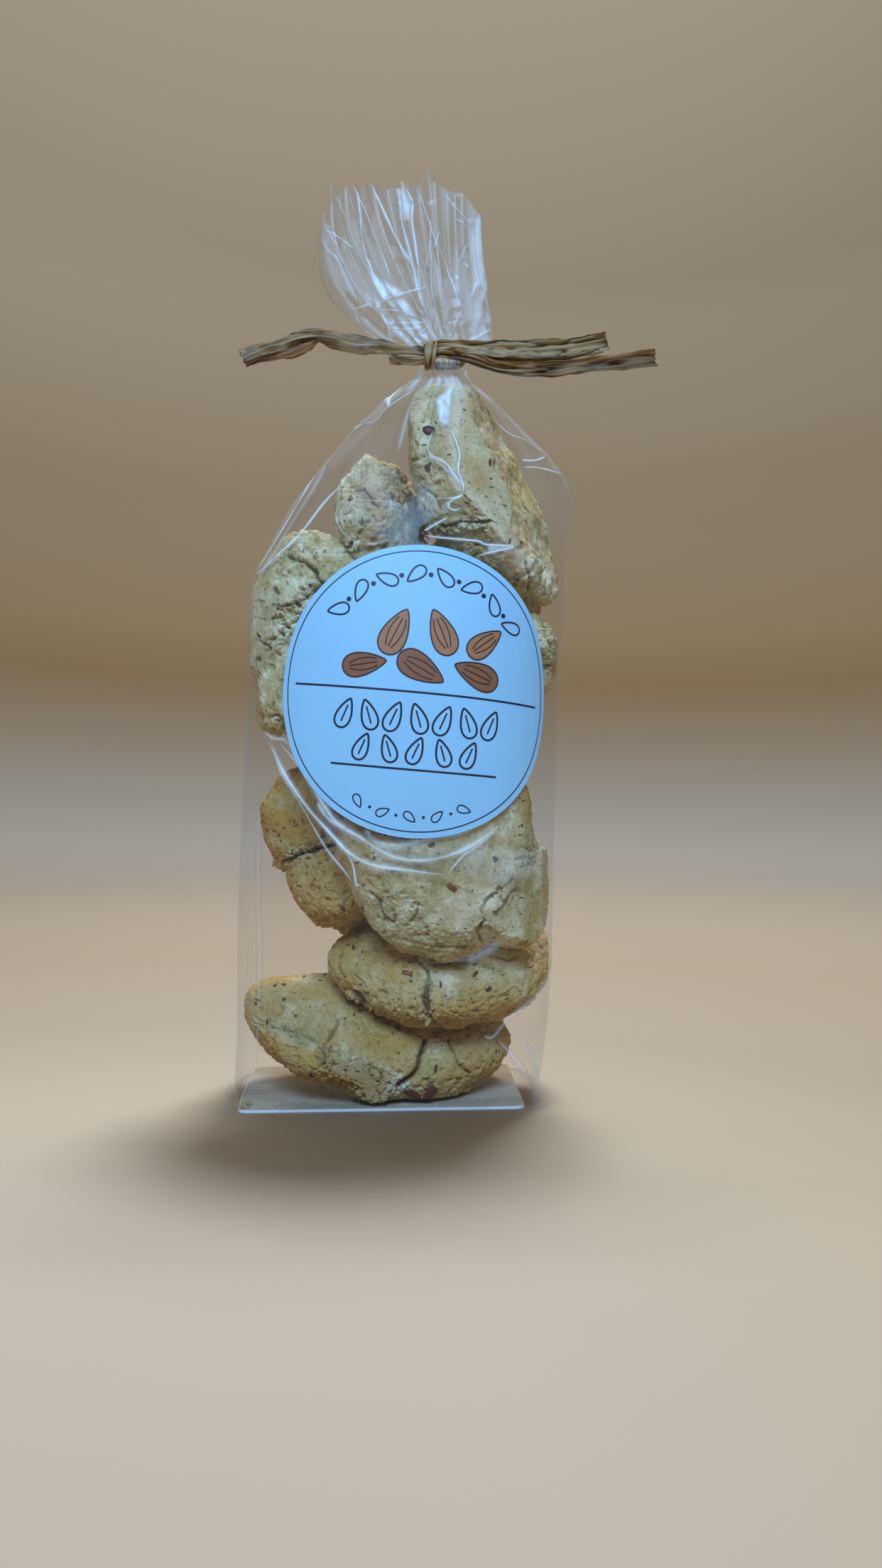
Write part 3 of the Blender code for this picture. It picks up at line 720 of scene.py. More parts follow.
def noise_texture(tree, scale, detail=3.0, vector=None, roughness=0.55):
    vector = vector or add_node(tree, "TexCoord").outputs["Object"]
    inputs = {"Vector": vector, "Scale": scale, "Detail": detail, "Roughness": roughness}
    return add_node(tree, "TexNoise", inputs).outputs["Fac"]


def bump(tree, height, strength, distance):
    inputs = {"Height": height, "Strength": strength, "Distance": distance}
    return add_node(tree, "Bump", inputs).outputs["Normal"]


def set_surface(tree, shader, base, normal=None, **sockets):
    """Links a shader's colour and bump, and sets plain sockets, whose names have _ for a space."""
    tree.links.new(base, shader.inputs["Base Color"])
    if normal:
        tree.links.new(normal, shader.inputs["Normal"])
    for name, value in sockets.items():
        shader.inputs[name.replace("_", " ")].default_value = value


def fleck_share(tree, scale, size, stretch, share, vector):
    """1 inside scattered flecks and 0 outside: each cell of the pattern has at most one."""
    clouds = add_node(tree, "TexNoise", {"Vector": vector, "Scale": scale * 1.7, "Detail": 1.0})
    bent = vector_node(tree, "SUBTRACT", clouds.outputs["Color"], (0.5, 0.5, 0.5)).outputs[0]
    bent = vector_node(tree, "MULTIPLY", bent, (0.5 / scale,) * 3).outputs[0]
    moved = vector_node(tree, "ADD", vector, bent).outputs[0]
    moved = vector_node(tree, "MULTIPLY", moved, stretch).outputs[0]
    cells = add_node(tree, "TexVoronoi", {"Vector": moved, "Scale": scale})
    chance = add_node(tree, "SeparateColor", {"Color": cells.outputs["Color"]})
    reach = math_node(tree, "MULTIPLY", chance.outputs["Green"], size)
    near = math_node(tree, "LESS_THAN", cells.outputs["Distance"], reach)
    picked = math_node(tree, "LESS_THAN", chance.outputs["Red"], share)
    return math_node(tree, "MULTIPLY", near, picked)


WHITE = (255, 255, 255)
BLACK = (0, 0, 0)

# Flecks by size: cells a metre, radius within a cell, stretch, share of cells and darkness.
FLECKS = (
    (900.0, 0.30, (1.0, 1.0, 1.0), 0.34, 0.50),
    (520.0, 0.26, (1.0, 1.7, 1.0), 0.40, 0.70),
    (330.0, 0.24, (1.0, 1.0, 2.4), 0.42, 0.85),
    (190.0, 0.21, (2.2, 1.0, 1.0), 0.38, 0.90),
)


def cookie_material():
    """Pale shortbread: golden where it is toasted and where shade is painted on the lower cookies, with
    painted brown shade in the cracks, paler crumb and painted highlights where ridges and lumps stand out,
    and flecks of nut skin and spice.
    """
    made, tree, shader = new_material("baked_cookie")
    vector = add_node(tree, "TexCoord").outputs["Object"]
    patches = noise_texture(tree, 150.0, 5.0, vector, 0.62)
    crumb = noise_texture(tree, 620.0, 4.0, vector, 0.7)
    pale = ramp(tree, patches, ((0.34, (168, 152, 100)), (0.5, (209, 197, 148)), (0.64, (242, 237, 208))))
    golden = mix_colours(tree, crumb, colour(160, 112, 40), colour(222, 182, 98))
    uneven = math_node(tree, "MULTIPLY", math_node(tree, "SUBTRACT", crumb, 0.5), 0.9)
    # The toast share also holds painted shade on the lower and shaded cookies.
    toast_and_shade_share = math_node(tree, "ADD", stored(tree, "toast_and_shade"), uneven, clamp=True)
    base = mix_colours(tree, toast_and_shade_share, pale, golden)
    # Paler where ridges and lumps stand out: partly pale broken crumb, partly painted highlight.
    base = mix_colours(tree, stored(tree, "pale_crumb_and_highlight"), base, colour(246, 240, 214))
    speckle = ramp(tree, noise_texture(tree, 1000.0, 3.0, vector, 0.7), ((0.36, WHITE), (0.5, BLACK)))
    base = mix_colours(tree, math_node(tree, "MULTIPLY", speckle, 0.4), base, colour(140, 122, 74))
    # Painted shade darkens the cracks, crevices and pits.
    broken = math_node(tree, "ADD", crumb, 0.45)
    crack_shade = math_node(tree, "MULTIPLY", stored(tree, "crack_depth_and_shade"), broken, clamp=True)
    base = mix_colours(tree, crack_shade, base, colour(92, 54, 24))
    for scale, size, stretch, share, strength in FLECKS:
        flecks = math_node(tree, "MULTIPLY", fleck_share(tree, scale, size, stretch, share, vector), strength)
        base = mix_colours(tree, flecks, base, colour(70, 48, 38))
    grain = bump(tree, noise_texture(tree, 1300.0, 4.0, vector, 0.7), 0.7, 0.0005)
    set_surface(
        tree, shader, base, grain, Roughness=0.66, Specular_IOR_Level=0.3,
        Subsurface_Weight=0.1, Subsurface_Radius=(1.0, 0.7, 0.4), Subsurface_Scale=0.001,
    )
    return made


def almond_material():
    """Chopped almond: brown-red skin on pale flesh."""
    made, tree, shader = new_material("almond_piece")
    stops = ((0.0, (190, 110, 52)), (0.5, (134, 66, 36)), (1.0, (82, 36, 30)))
    skin = ramp(tree, stored(tree, "skin"), stops)
    streaks = noise_texture(tree, 900.0, 2.0)
    base = mix_colours(tree, math_node(tree, "MULTIPLY", streaks, 0.5), skin, colour(60, 32, 24))
    set_surface(tree, shader, base, bump(tree, streaks, 0.4, 0.0002), Roughness=0.5)
    return made


# How much the film mirrors seen straight on and along its surface, and how hazy it is along it.
PLAIN_MIRROR = 0.015
GRAZING_MIRROR = 0.5
GRAZING_HAZE = 0.14
GRAZING_POWER = 4.0


def film_material():
    """Thin clear film: it mirrors more the flatter the look along it, and its creases are white with painted
    glints.
    """
    made, tree, shader = new_material("clear_film")
    tree.nodes.remove(shader)
    output = tree.nodes["Material Output"]
    facing = add_node(tree, "LayerWeight", {"Blend": 0.5}).outputs["Facing"]
    steep = math_node(tree, "POWER", facing, GRAZING_POWER)
    edge_mirror = math_node(tree, "MULTIPLY", steep, GRAZING_MIRROR)
    mirror = math_node(tree, "ADD", edge_mirror, PLAIN_MIRROR, clamp=True)
    edge_haze = math_node(tree, "MULTIPLY", steep, GRAZING_HAZE)
    haze = math_node(tree, "ADD", edge_haze, stored(tree, "haze_and_painted_glint"), clamp=True)
    clear = add_node(tree, "BsdfTransparent", {"Color": (0.95, 0.945, 0.94, 1)})
    gloss = add_node(tree, "BsdfGlossy", {"Color": (0.9, 0.97, 1.0, 1), "Roughness": 0.17})
    # A milky white that gives the haze, and the painted glints and sheen of the creases and patches.
    milky_haze_and_glint = add_node(tree, "BsdfDiffuse", {"Color": (0.86, 0.95, 1.0, 1)})
    body = add_node(tree, "MixShader", {0: mirror, 1: clear.outputs[0], 2: gloss.outputs[0]})
    whole = add_node(tree, "MixShader", {0: haze, 1: body.outputs[0], 2: milky_haze_and_glint.outputs[0]})
    tree.links.new(whole.outputs[0], output.inputs["Surface"])
    return made


def label_material():
    """Matt pale blue paper with a fine tooth."""
    made, tree, shader = new_material("label_paper")
    tooth = noise_texture(tree, 900.0, 4.0, None, 0.7)
    clouds = noise_texture(tree, 60.0, 2.0)
    base = mix_colours(tree, clouds, colour(152, 209, 246), colour(160, 215, 250))
    grain = bump(tree, tooth, 0.25, 0.00012)
    set_surface(tree, shader, base, grain, Roughness=0.58, Specular_IOR_Level=0.35)
    return made


def ink_material(name, shade):
    """Printed ink, mottled from a darker tone up to the given screen colour."""
    made, tree, shader = new_material(name)
    mottle = noise_texture(tree, 700.0, 2.0)
    full = colour(*shade)
    darker = (*(part * 0.7 for part in full[:3]), 1)
    set_surface(tree, shader, mix_colours(tree, mottle, darker, full), Roughness=0.5)
    return made


def card_material():
    """Grey coated card with soft bands of painted sheen, and a white cut edge."""
    made, tree, shader = new_material("grey_card")
    facing = add_node(tree, "SeparateXYZ", {0: add_node(tree, "NewGeometry").outputs["Normal"]}).outputs["Z"]
    flat = math_node(tree, "GREATER_THAN", math_node(tree, "ABSOLUTE", facing), 0.5)
    fibres = noise_texture(tree, 350.0, 5.0, None, 0.65)
    grey = mix_colours(tree, fibres, colour(148, 136, 118), colour(172, 160, 142))
    stretched = vector_node(tree, "MULTIPLY", add_node(tree, "TexCoord").outputs["Object"], (22.0, 60.0, 1.0))
    clouds = noise_texture(tree, 1.0, 3.0, stretched.outputs[0])
    # Soft bands of painted sheen over the grey.
    grey = mix_colours(tree, ramp(tree, clouds, ((0.42, BLACK), (0.8, WHITE))), grey, colour(226, 214, 196))
    base = mix_colours(tree, flat, colour(232, 238, 246), grey)
    set_surface(tree, shader, base, bump(tree, fibres, 0.15, 0.0001), Roughness=0.38)
    return made


def raffia_material():
    """Dry palm strip: fine lengthwise streaks from dark brown to straw, orange inside its folds, and painted
    shade in its grooves.
    """
    made, tree, shader = new_material("raffia")
    lengthwise = add_node(tree, "CombineXYZ", {"X": stored(tree, "along"), "Y": stored(tree, "across")})
    wide = vector_node(tree, "MULTIPLY", lengthwise.outputs[0], (0.05, 1.3, 1)).outputs[0]
    fine = vector_node(tree, "MULTIPLY", lengthwise.outputs[0], (0.12, 5.0, 1)).outputs[0]
    bands = noise_texture(tree, 1.0, 3.0, wide)
    fibres = noise_texture(tree, 1.0, 4.0, fine, 0.65)
    stops = ((0.32, (54, 34, 16)), (0.45, (108, 76, 42)), (0.55, (150, 116, 72)), (0.7, (220, 196, 148)))
    base = ramp(tree, mix_colours(tree, 0.5, bands, fibres), stops)
    orange = mix_colours(tree, fibres, colour(120, 70, 26), colour(190, 128, 62))
    base = mix_colours(tree, stored(tree, "inner"), base, orange)
    straw = mix_colours(tree, fibres, colour(142, 112, 70), colour(224, 198, 146))
    base = mix_colours(tree, stored(tree, "paleness"), base, straw)
    # Painted shade in the grooves.
    base = mix_colours(tree, stored(tree, "groove_shade"), base, colour(38, 26, 16))
    grain = bump(tree, fibres, 0.5, 0.0003)
    set_surface(tree, shader, base, grain, Roughness=0.5, Specular_IOR_Level=0.4)
    return made


# The backdrop's colour, with painted light and shade, by share of the way from the pack out over the floor
# and up the wall, in metres.
BACKDROP_WAY = 2.5
BACKDROP_STOPS = (
    (0.026, (212, 211, 209)), (0.056, (207, 203, 194)), (0.09, (187, 181, 173)), (0.14, (180, 171, 160)),
    (0.25, (172, 167, 160)), (0.349, (166, 170, 173)), (0.408, (152, 155, 155)), (0.458, (144, 137, 127)),
    (0.502, (140, 124, 99)), (0.542, (153, 140, 118)), (0.577, (157, 146, 127)), (0.7, (173, 169, 159)),
    (0.82, (165, 162, 153)),
)


def backdrop_material():
    """Floor paper whose colour, partly its own tone and partly painted light and shade, is pale, greyer where
    it bends, tan low on the wall and pale again above.
    """
    made, tree, shader = new_material("backdrop_paper")
    place = add_node(tree, "SeparateXYZ", {0: add_node(tree, "TexCoord").outputs["Object"]})
    flat = add_node(tree, "CombineXYZ", {0: place.outputs[0], 1: place.outputs[1]}).outputs[0]
    shifted = vector_node(tree, "ADD", flat, (0.05, 0.15, 0)).outputs[0]
    level = vector_node(tree, "LENGTH", shifted)
    way = math_node(tree, "ADD", level.outputs["Value"], place.outputs[2])
    base = ramp(tree, math_node(tree, "MULTIPLY", way, 1 / BACKDROP_WAY), BACKDROP_STOPS)
    set_surface(tree, shader, base, Roughness=0.8)
    return made


BAG_TREE = search_tree(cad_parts["clear_bag"].data)


def gaussian(values, spread, axis, around=False):
    """Smooths a grid along one axis, wrapping round where the axis is closed."""
    reach = int(math.ceil(spread * 3))
    steps = np.arange(-reach, reach + 1)
    weights = np.exp(-((steps / spread) ** 2) / 2)
    weights /= weights.sum()
    count = values.shape[axis]
    total = np.zeros_like(values)
    for step, weight in zip(steps, weights):
        index = np.arange(count) + step
        index = index % count if around else np.clip(index, 0, count - 1)
        total += weight * np.take(values, index, axis=axis)
    return total


BAG_RAYS = 360
BAG_ROW_STEP = 1.5
BAG_LOWEST = 1.2
BODY_TOP = 172.0


def bag_middle(height):
    """Halfway between the bag's left and right sides."""
    left = BAG_TREE.ray_cast((-200, 0, height), (1, 0, 0))[0]
    right = BAG_TREE.ray_cast((200, 0, height), (-1, 0, 0))[0]
    return (left.x + right.x) / 2


def bag_outlines():
    """The bag's form as rows of points from the back middle, round by the left to the front and on."""
    heights = np.arange(BAG_LOWEST, BODY_TOP, BAG_ROW_STEP)
    angles = math.pi / 2 + full_turn(BAG_RAYS)
    rows = []
    for height in heights:
        start = (bag_middle(height), 0.0, height)
        rows.append([BAG_TREE.ray_cast(start, (math.cos(a), math.sin(a), 0.0))[0][:] for a in angles])
    rows = np.array(rows)
    rows = gaussian(rows, 3.5, 1, around=True)
    rows[:, :, :2] = gaussian(rows[:, :, :2], 1.3, 0)
    return heights, rows


def even_row(row, shares):
    """The closed row's points at the given shares of its length."""
    loop = np.vstack([row, row[:1]])
    length = length_along(loop)
    length /= length[-1]
    return np.column_stack([np.interp(shares, length, loop[:, axis]) for axis in range(3)])


FILM_COLUMNS = 344
FRONT_DENSITY = 0.36
# Bottom, top and step of the film's rows, which are closer in the upper part, where the creases are finest.
FILM_ROWS = ((0.1, 56, 0.75), (56, 118, 0.62), (118, BODY_TOP, 0.42))


def film_grid():
    """The bag's form as a fine grid of points, closest together in front."""
    heights, rows = bag_outlines()
    turn = np.arange(FILM_COLUMNS) / FILM_COLUMNS
    shares = turn + FRONT_DENSITY * np.sin(2 * math.pi * turn) / (2 * math.pi)
    even = np.array([even_row(row, shares) for row in rows])
    fine = np.concatenate([np.arange(*part) for part in FILM_ROWS])
    place = np.clip((fine - heights[0]) / BAG_ROW_STEP, 0, len(heights) - 1.001)
    low = place.astype(int)
    share = (place - low)[:, None, None]
    grid = even[low] * (1 - share) + even[low + 1] * share
    grid[:, :, 2] = fine[:, None]
    return grid


def grid_normals(grid):
    """Outward directions of a closed grid whose rows go up and whose columns go round."""
    across = np.roll(grid, -1, axis=1) - np.roll(grid, 1, axis=1)
    normals = np.cross(across, np.gradient(grid, axis=0))
    return normals / np.maximum(np.linalg.norm(normals, axis=-1, keepdims=True), 1e-9)


def label_cover(places):
    """1 where the label lies on the film, and 0 a little way outside it."""
    away = np.linalg.norm((places - LABEL_PIXEL) / LABEL_HALF_PIXELS, axis=1)
    return 1 - smooth_step(0.99, 1.05, away)


def neck_columns(points, stretch):
    """Places for noise that runs in streaks down from the neck."""
    turn = np.arctan2(points[:, 1], points[:, 0] - NECK_PLACE[0])
    return np.column_stack([np.cos(turn) * 3.2, np.sin(turn) * 3.2, points[:, 2] / stretch])


# Soft dents in the film: depth, stretch upwards, size and seed.
FILM_DENTS = ((0.4, 0.55, 19, 4), (0.12, 0.7, 7.5, 5))
GATHERED_FROM = 148
GATHERED_TO = 171
CREASE_HEIGHT = 0.3


def wrinkle_film(grid):
    """Soft dents all over, pleats running down from the neck, and the creases that the photo shows."""
    outward = grid_normals(grid).reshape(-1, 3)
    points = grid.reshape(-1, 3)
    height = points[:, 2]
    places, scale = photo_pixels(points)
    in_front = outward @ CAMERA_FORWARD < -0.05
    bare = np.where(in_front, 1 - label_cover(places), 1.0)
    gathered = smooth_step(GATHERED_FROM, GATHERED_TO, height)
    dents = sum(deep * noise(points * (1, 1, tall), size, seed) for deep, tall, size, seed in FILM_DENTS)
    pleats = 0.5 * gathered * (0.45 - np.abs(noise(neck_columns(points, 42), 1.0, 6)))
    pleats += 0.45 * gathered**2 * (0.4 - np.abs(noise(neck_columns(points, 26) * 2.1, 1.0, 7)))
    rise = bare * (dents * smooth_step(0, 14, height) + pleats)
    for half_width, whiteness, line in BODY_CREASES:
        gap = distance_to_line(places, line) * scale
        rise += in_front * bare * CREASE_HEIGHT * whiteness * np.exp(-((gap / (half_width + 0.6)) ** 2))
    moved = points + outward * rise[:, None]
    moved[:, 2] = np.maximum(moved[:, 2], 0.05)
    return moved.reshape(grid.shape)


def patch_whiteness(points, in_front, patches):
    """Painted highlights and sheen of the small patches that the photo shows, as whiteness soft at their
    edges.
    """
    places, scale = photo_pixels(points)
    total = np.zeros(len(points))
    for whiteness, polygon in patches:
        inside = inside_polygon(places, polygon)
        edge = distance_to_line(places, polygon + polygon[:1]) * scale
        total = np.maximum(total, whiteness * np.where(inside, smooth_step(-0.3, 1.2, edge), 0))
    return total * in_front * np.clip(0.95 + 0.5 * noise(points * (2.5, 2.5, 0.7), 3.0, 27), 0.5, 1.2)


def body_whiteness(grid):
    """A trace of haze all over, streaks at the gathered neck, and the photo's patches of painted highlight
    and sheen.
    """
    points = grid.reshape(-1, 3)
    in_front = grid_normals(grid).reshape(-1, 3) @ CAMERA_FORWARD < 0
    streaks = np.clip(0.5 + 1.1 * noise(neck_columns(points, 30) * 1.9, 1.0, 9), 0, 1)
    haze = 0.012 + 0.05 * smooth_step(120, 160, points[:, 2]) * streaks
    haze += 0.5 * smooth_step(161, 171, points[:, 2]) * (0.25 + 0.75 * streaks)
    return haze + patch_whiteness(points, in_front, BODY_PATCHES)


def grid_tree(grid):
    """A ray search over a closed grid of points."""
    faces = grid_faces(*grid.shape[:2], closed=True)
    return BVHTree.FromPolygons(grid.reshape(-1, 3).tolist(), faces.tolist())


CREASE_STEP = 0.5
PIXEL_SPAN = 0.17
CREASE_ROOF = np.array((-1.0, -0.6, -0.3, -0.12, 0.0, 0.12, 0.3, 0.6, 1.0))
CREASE_FADE = np.array((0.0, 0.07, 0.25, 0.75, 1.0, 0.75, 0.25, 0.07, 0.0))
CREASE_HALO = 2.4


def crease_ribbons(tree, creases):
    """Narrow raised ribbons on the film along the creases, with the whiteness of their painted glints."""
    grids, whites = [], []
    for half_width, whiteness, line in creases:
        length = length_along(np.array(line, float))[-1] * PIXEL_SPAN
        pixels = spline(line, max(6, int(length / CREASE_STEP)))
        found = [tree.ray_cast(CAMERA_PLACE, photo_ray(pixel)) for pixel in pixels]
        found = [(hit[0][:], hit[1][:]) for hit in found if hit[0]]
        if len(found) < 4:
            continue
        centre = np.array([place for place, _ in found])
        normal = np.array([direction for _, direction in found])
        normal *= -np.sign(normal @ CAMERA_FORWARD)[:, None]
        centre = gaussian(centre, 1.2, 0)
        side = unit(np.cross(np.gradient(centre, axis=0), normal))
        share = np.linspace(0, 1, len(centre))
        waver = 1 + 0.4 * noise(centre, 6.0, 51) + 0.12 * noise(centre, 1.8, 52)
        taper = np.minimum(1, np.sin(math.pi * np.clip(share, 0.01, 0.99)) * 2.2) ** 0.6 * waver
        spread = (CREASE_HALO * half_width * taper)[:, None] * CREASE_ROOF
        lift = 0.06 + 0.3 * half_width * (1 - np.abs(CREASE_ROOF)) ** 2
        outwards = normal[:, None] * lift[None, :, None]
        grids.append(centre[:, None] + side[:, None] * spread[..., None] + outwards)
        bare = 1 - label_cover(photo_pixels(centre)[0])
        whites.append((whiteness * np.clip(taper, 0, 1.1) * bare)[:, None] * CREASE_FADE)
    return grids, whites


FAN_ROWS = 96
FOLD_STEPS = 9


def fan_grid():
    """The gathered film above the tie, as straight folds from the neck to the cut edge."""
    tops = np.array([at_depth(pixel, depth) for pixel, depth in FAN_FRONT_FOLDS + FAN_BACK_FOLDS])
    front = len(FAN_FRONT_FOLDS)
    back = len(FAN_BACK_FOLDS)
    front_angles = np.linspace(math.pi, 2 * math.pi, front)
    angles = np.concatenate([front_angles, np.linspace(0, math.pi, back + 2)[1:-1]])
    radius = np.where(np.arange(front + back) % 2, NECK_RADIUS * 0.72, NECK_RADIUS * 0.98)
    necks = np.column_stack([
        NECK_PLACE[0] + radius * np.cos(angles), radius * np.sin(angles), np.full(front + back, FAN_BOTTOM),
    ])
    steps = np.linspace(0, 1, FOLD_STEPS, endpoint=False)[None, :, None]
    rounded = steps + 0.05 * np.sin(2 * math.pi * steps)
    tops = (tops[:, None] * (1 - rounded) + np.roll(tops, -1, axis=0)[:, None] * rounded).reshape(-1, 3)
    necks = (necks[:, None] * (1 - steps) + np.roll(necks, -1, axis=0)[:, None] * steps).reshape(-1, 3)
    up = np.linspace(0, 1, FAN_ROWS)[:, None]
    spread = np.abs(tops[:, 0] - 4) / 20
    flare = 1 - (1 - up) ** (1.15 + 2.2 * spread**2)
    grid = np.empty((FAN_ROWS, len(tops), 3))
    grid[:, :, 0] = necks[:, 0] * (1 - flare) + tops[:, 0] * flare
    skirt = np.clip((tops[:, 0] - 10) / 13, 0, 1) ** 2
    grid[:, :, 0] += 9.0 * skirt * smooth_step(0, 0.15, up) * (1 - up) ** 2.2
    grid[:, :, 1] = necks[:, 1] * (1 - up) + tops[:, 1] * up - 4.0 * (tops[:, 1] < 3) * up * (1 - up)
    grid[:, :, 2] = necks[:, 2] * (1 - up) + tops[:, 2] * up
    return grid


def crumple_fan(grid):
    """Small facets, strongest just above the tie."""
    normals = grid_normals(grid).reshape(-1, 3)
    points = grid.reshape(-1, 3)
    low = 1 - smooth_step(FAN_BOTTOM + 3, FAN_BOTTOM + 20, points[:, 2])
    start = smooth_step(FAN_BOTTOM, FAN_BOTTOM + 3, points[:, 2])
    right = smooth_step(8, 22, points[:, 0])
    facets = (0.35 - np.abs(noise(points, 4.2, 21))) * (0.12 + 0.9 * low + 0.1 * right)
    facets += (0.35 - np.abs(noise(points * (1, 1, 0.25), 8.0, 22))) * 0.35
    return (points + normals * (facets * start)[:, None]).reshape(grid.shape)


def fan_whiteness(grid):
    """Haze in streaks along the folds, dense at the tie and on the right, and the photo's patches of painted
    highlight.
    """
    points = grid.reshape(-1, 3)
    columns = np.tile(np.arange(grid.shape[1]), grid.shape[0])
    samples = np.column_stack([columns / 4.0, points[:, 2] / 16, points[:, 2] * 0])
    streaks = np.clip(0.35 + 1.2 * noise(samples, 1.0, 23), 0, 1) ** 1.5
    low = 1 - smooth_step(FAN_BOTTOM + 2, FAN_BOTTOM + 15, points[:, 2])
    right = smooth_step(6, 20, points[:, 0])
    haze = 0.025 + (0.06 + 0.06 * right + 0.26 * low) * streaks + 0.02 * right
    return haze + patch_whiteness(points, points[:, 1] < 2.0, FAN_PATCHES)


EAR_ROWS = 12
EAR_COLUMNS = 8


def corner_ear(corner, tip, height):
    """A small folded ear of film at a lower corner of the pack."""
    corner, tip = np.array(corner, float), np.array(tip, float)
    rows = []
    for up in np.linspace(0, 1, EAR_ROWS):
        reach = (1 - up) ** 1.4
        outer = corner + (tip - corner) * reach + np.array((0, 0, height * up))
        inner = corner + np.array((0, 0, height * up))
        rows.append([inner + (outer - inner) * share for share in np.linspace(0, 1, EAR_COLUMNS)])
    return np.array(rows)


# Film ears at the lower corners: foot of the fold, tip and height.
CORNER_EARS = (
    ((-33.2, -18.6, 0.2), (-36.6, -17.0, 0.2), 9.0),
    ((33.6, -18.4, 0.2), (37.4, -17.2, 0.2), 15.0),
)
EAR_HAZE = 0.06


def build_film():
    """The bag, the fan above its tie, its lower corners and its creases with painted glints, in one piece."""
    body = wrinkle_film(film_grid())
    fan = crumple_fan(fan_grid())
    ears = [corner_ear(*ear) for ear in CORNER_EARS]
    body_ribbons, body_whites = crease_ribbons(grid_tree(body), BODY_CREASES)
    fan_ribbons, fan_whites = crease_ribbons(grid_tree(fan), FAN_CREASES)
    sheets = [(body, True), (fan, True)]
    sheets += [(grid, False) for grid in ears + body_ribbons + fan_ribbons]
    points, faces = joined_grids(sheets)
    whites = [body_whiteness(body), fan_whiteness(fan)]
    whites += [np.full(ear.shape[0] * ear.shape[1], EAR_HAZE) for ear in ears]
    whites += [white.ravel() for white in body_whites + fan_whites]
    mesh = mesh_from("clear_film", points, faces)
    set_values(mesh, "haze_and_painted_glint", np.concatenate(whites))
    piece = add_piece("clear_film", mesh, film_material())
    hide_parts("clear_bag")


def sphere_template(subdivisions):
    """The points of a finely divided ball, and a mesh to copy."""
    shape = bmesh.new()
    bmesh.ops.create_icosphere(shape, subdivisions=subdivisions, radius=1.0)
    mesh = bpy.data.meshes.new("ball")
    shape.to_mesh(mesh)
    shape.free()
    mesh.shade_smooth()
    points = np.empty(len(mesh.vertices) * 3, np.float32)
    mesh.vertices.foreach_get("co", points)
    return mesh, unit(points.reshape(-1, 3).astype(float))


FINE_BALL, FINE_DIRECTIONS = sphere_template(7)
DOME_SQUARENESS = 2.4
FRONT_CROWDING = 0.38


def crowded_directions(towards):
    """The fine ball's directions, drawn closer together round one direction."""
    along = np.clip(FINE_DIRECTIONS @ towards, -1, 1)
    angle = np.arccos(along)
    aside = unit(FINE_DIRECTIONS - along[:, None] * towards + 1e-9)
    turned = angle - FRONT_CROWDING * np.sin(angle)
    return np.cos(turned)[:, None] * towards + np.sin(turned)[:, None] * aside


def rounded_puck(directions, cookie):
    """A cookie's plain form in its own axes: a dome above the rim and a flatter base below."""
    level = np.hypot(directions[:, 0], directions[:, 1])
    power = np.where(directions[:, 2] > 0, DOME_SQUARENESS, cookie.base_squareness)
    scale = (level**power + np.abs(directions[:, 2]) ** power) ** (-1 / power)
    height = np.where(directions[:, 2] > 0, *cookie.heights)
    turn = np.arctan2(directions[:, 1], directions[:, 0])
    uneven = 1 + 0.022 * np.sin(3 * turn + cookie.seed) + 0.016 * np.sin(5 * turn + 2.1 * cookie.seed)
    sides = directions[:, :2] * np.array(cookie.radii) * uneven[:, None]
    return np.column_stack([sides * scale[:, None], directions[:, 2] * height * scale])


OUTLINE_STEPS = 240


def polar_reach(centre, outline, angles):
    """How far the outline lies from the centre at each angle, in pixels."""
    corners = np.array(outline, float) - centre
    reach = np.zeros(len(angles))
    aim = np.column_stack([np.cos(angles), np.sin(angles)])
    for start, end in zip(corners, np.roll(corners, -1, axis=0)):
        run = end - start
        cross = aim[:, 0] * run[1] - aim[:, 1] * run[0]
        cross = np.where(np.abs(cross) < 1e-9, 1e-9, cross)
        away = (start[0] * run[1] - start[1] * run[0]) / cross
        share = (start[0] * aim[:, 1] - start[1] * aim[:, 0]) / cross
        hit = (away > 0) & (share >= 0) & (share <= 1)
        reach = np.where(hit, np.maximum(reach, away), reach)
    return gaussian(reach, 2.0, 0, around=True)


def fit_outline(points, outline):
    """Stretches the cookie across the view until its outline is the one in the photo."""
    places, scale = photo_pixels(points)
    centre = np.array(outline, float).mean(axis=0)
    points = points + np.outer((centre - places.mean(axis=0))[0] * scale, CAMERA_RIGHT)
    points[:, 2] -= (centre - places.mean(axis=0))[1] * scale
    places, scale = photo_pixels(points)
    away = places - centre
    turn = np.arctan2(away[:, 1], away[:, 0])
    angles = np.linspace(-math.pi, math.pi, OUTLINE_STEPS, endpoint=False)
    slot = ((turn + math.pi) / (2 * math.pi) * OUTLINE_STEPS).astype(int) % OUTLINE_STEPS
    own = np.zeros(OUTLINE_STEPS)
    np.maximum.at(own, slot, np.hypot(away[:, 0], away[:, 1]))
    own = gaussian(own, 2.0, 0, around=True)
    ratio = polar_reach(centre, outline, angles) / own
    grown = np.interp(turn, np.append(angles, math.pi), np.append(ratio, ratio[0])) - 1
    shift = away * grown[:, None] * scale[:, None]
    moved = points + shift[:, :1] * CAMERA_RIGHT
    moved[:, 2] -= shift[:, 1]
    return moved


def crack_cut(gap, half_width, deep):
    """A narrow cut with a shallow valley round it."""
    return deep * (np.exp(-((gap / half_width) ** 2)) + 0.14 * np.exp(-((gap / (half_width * 4)) ** 2)))


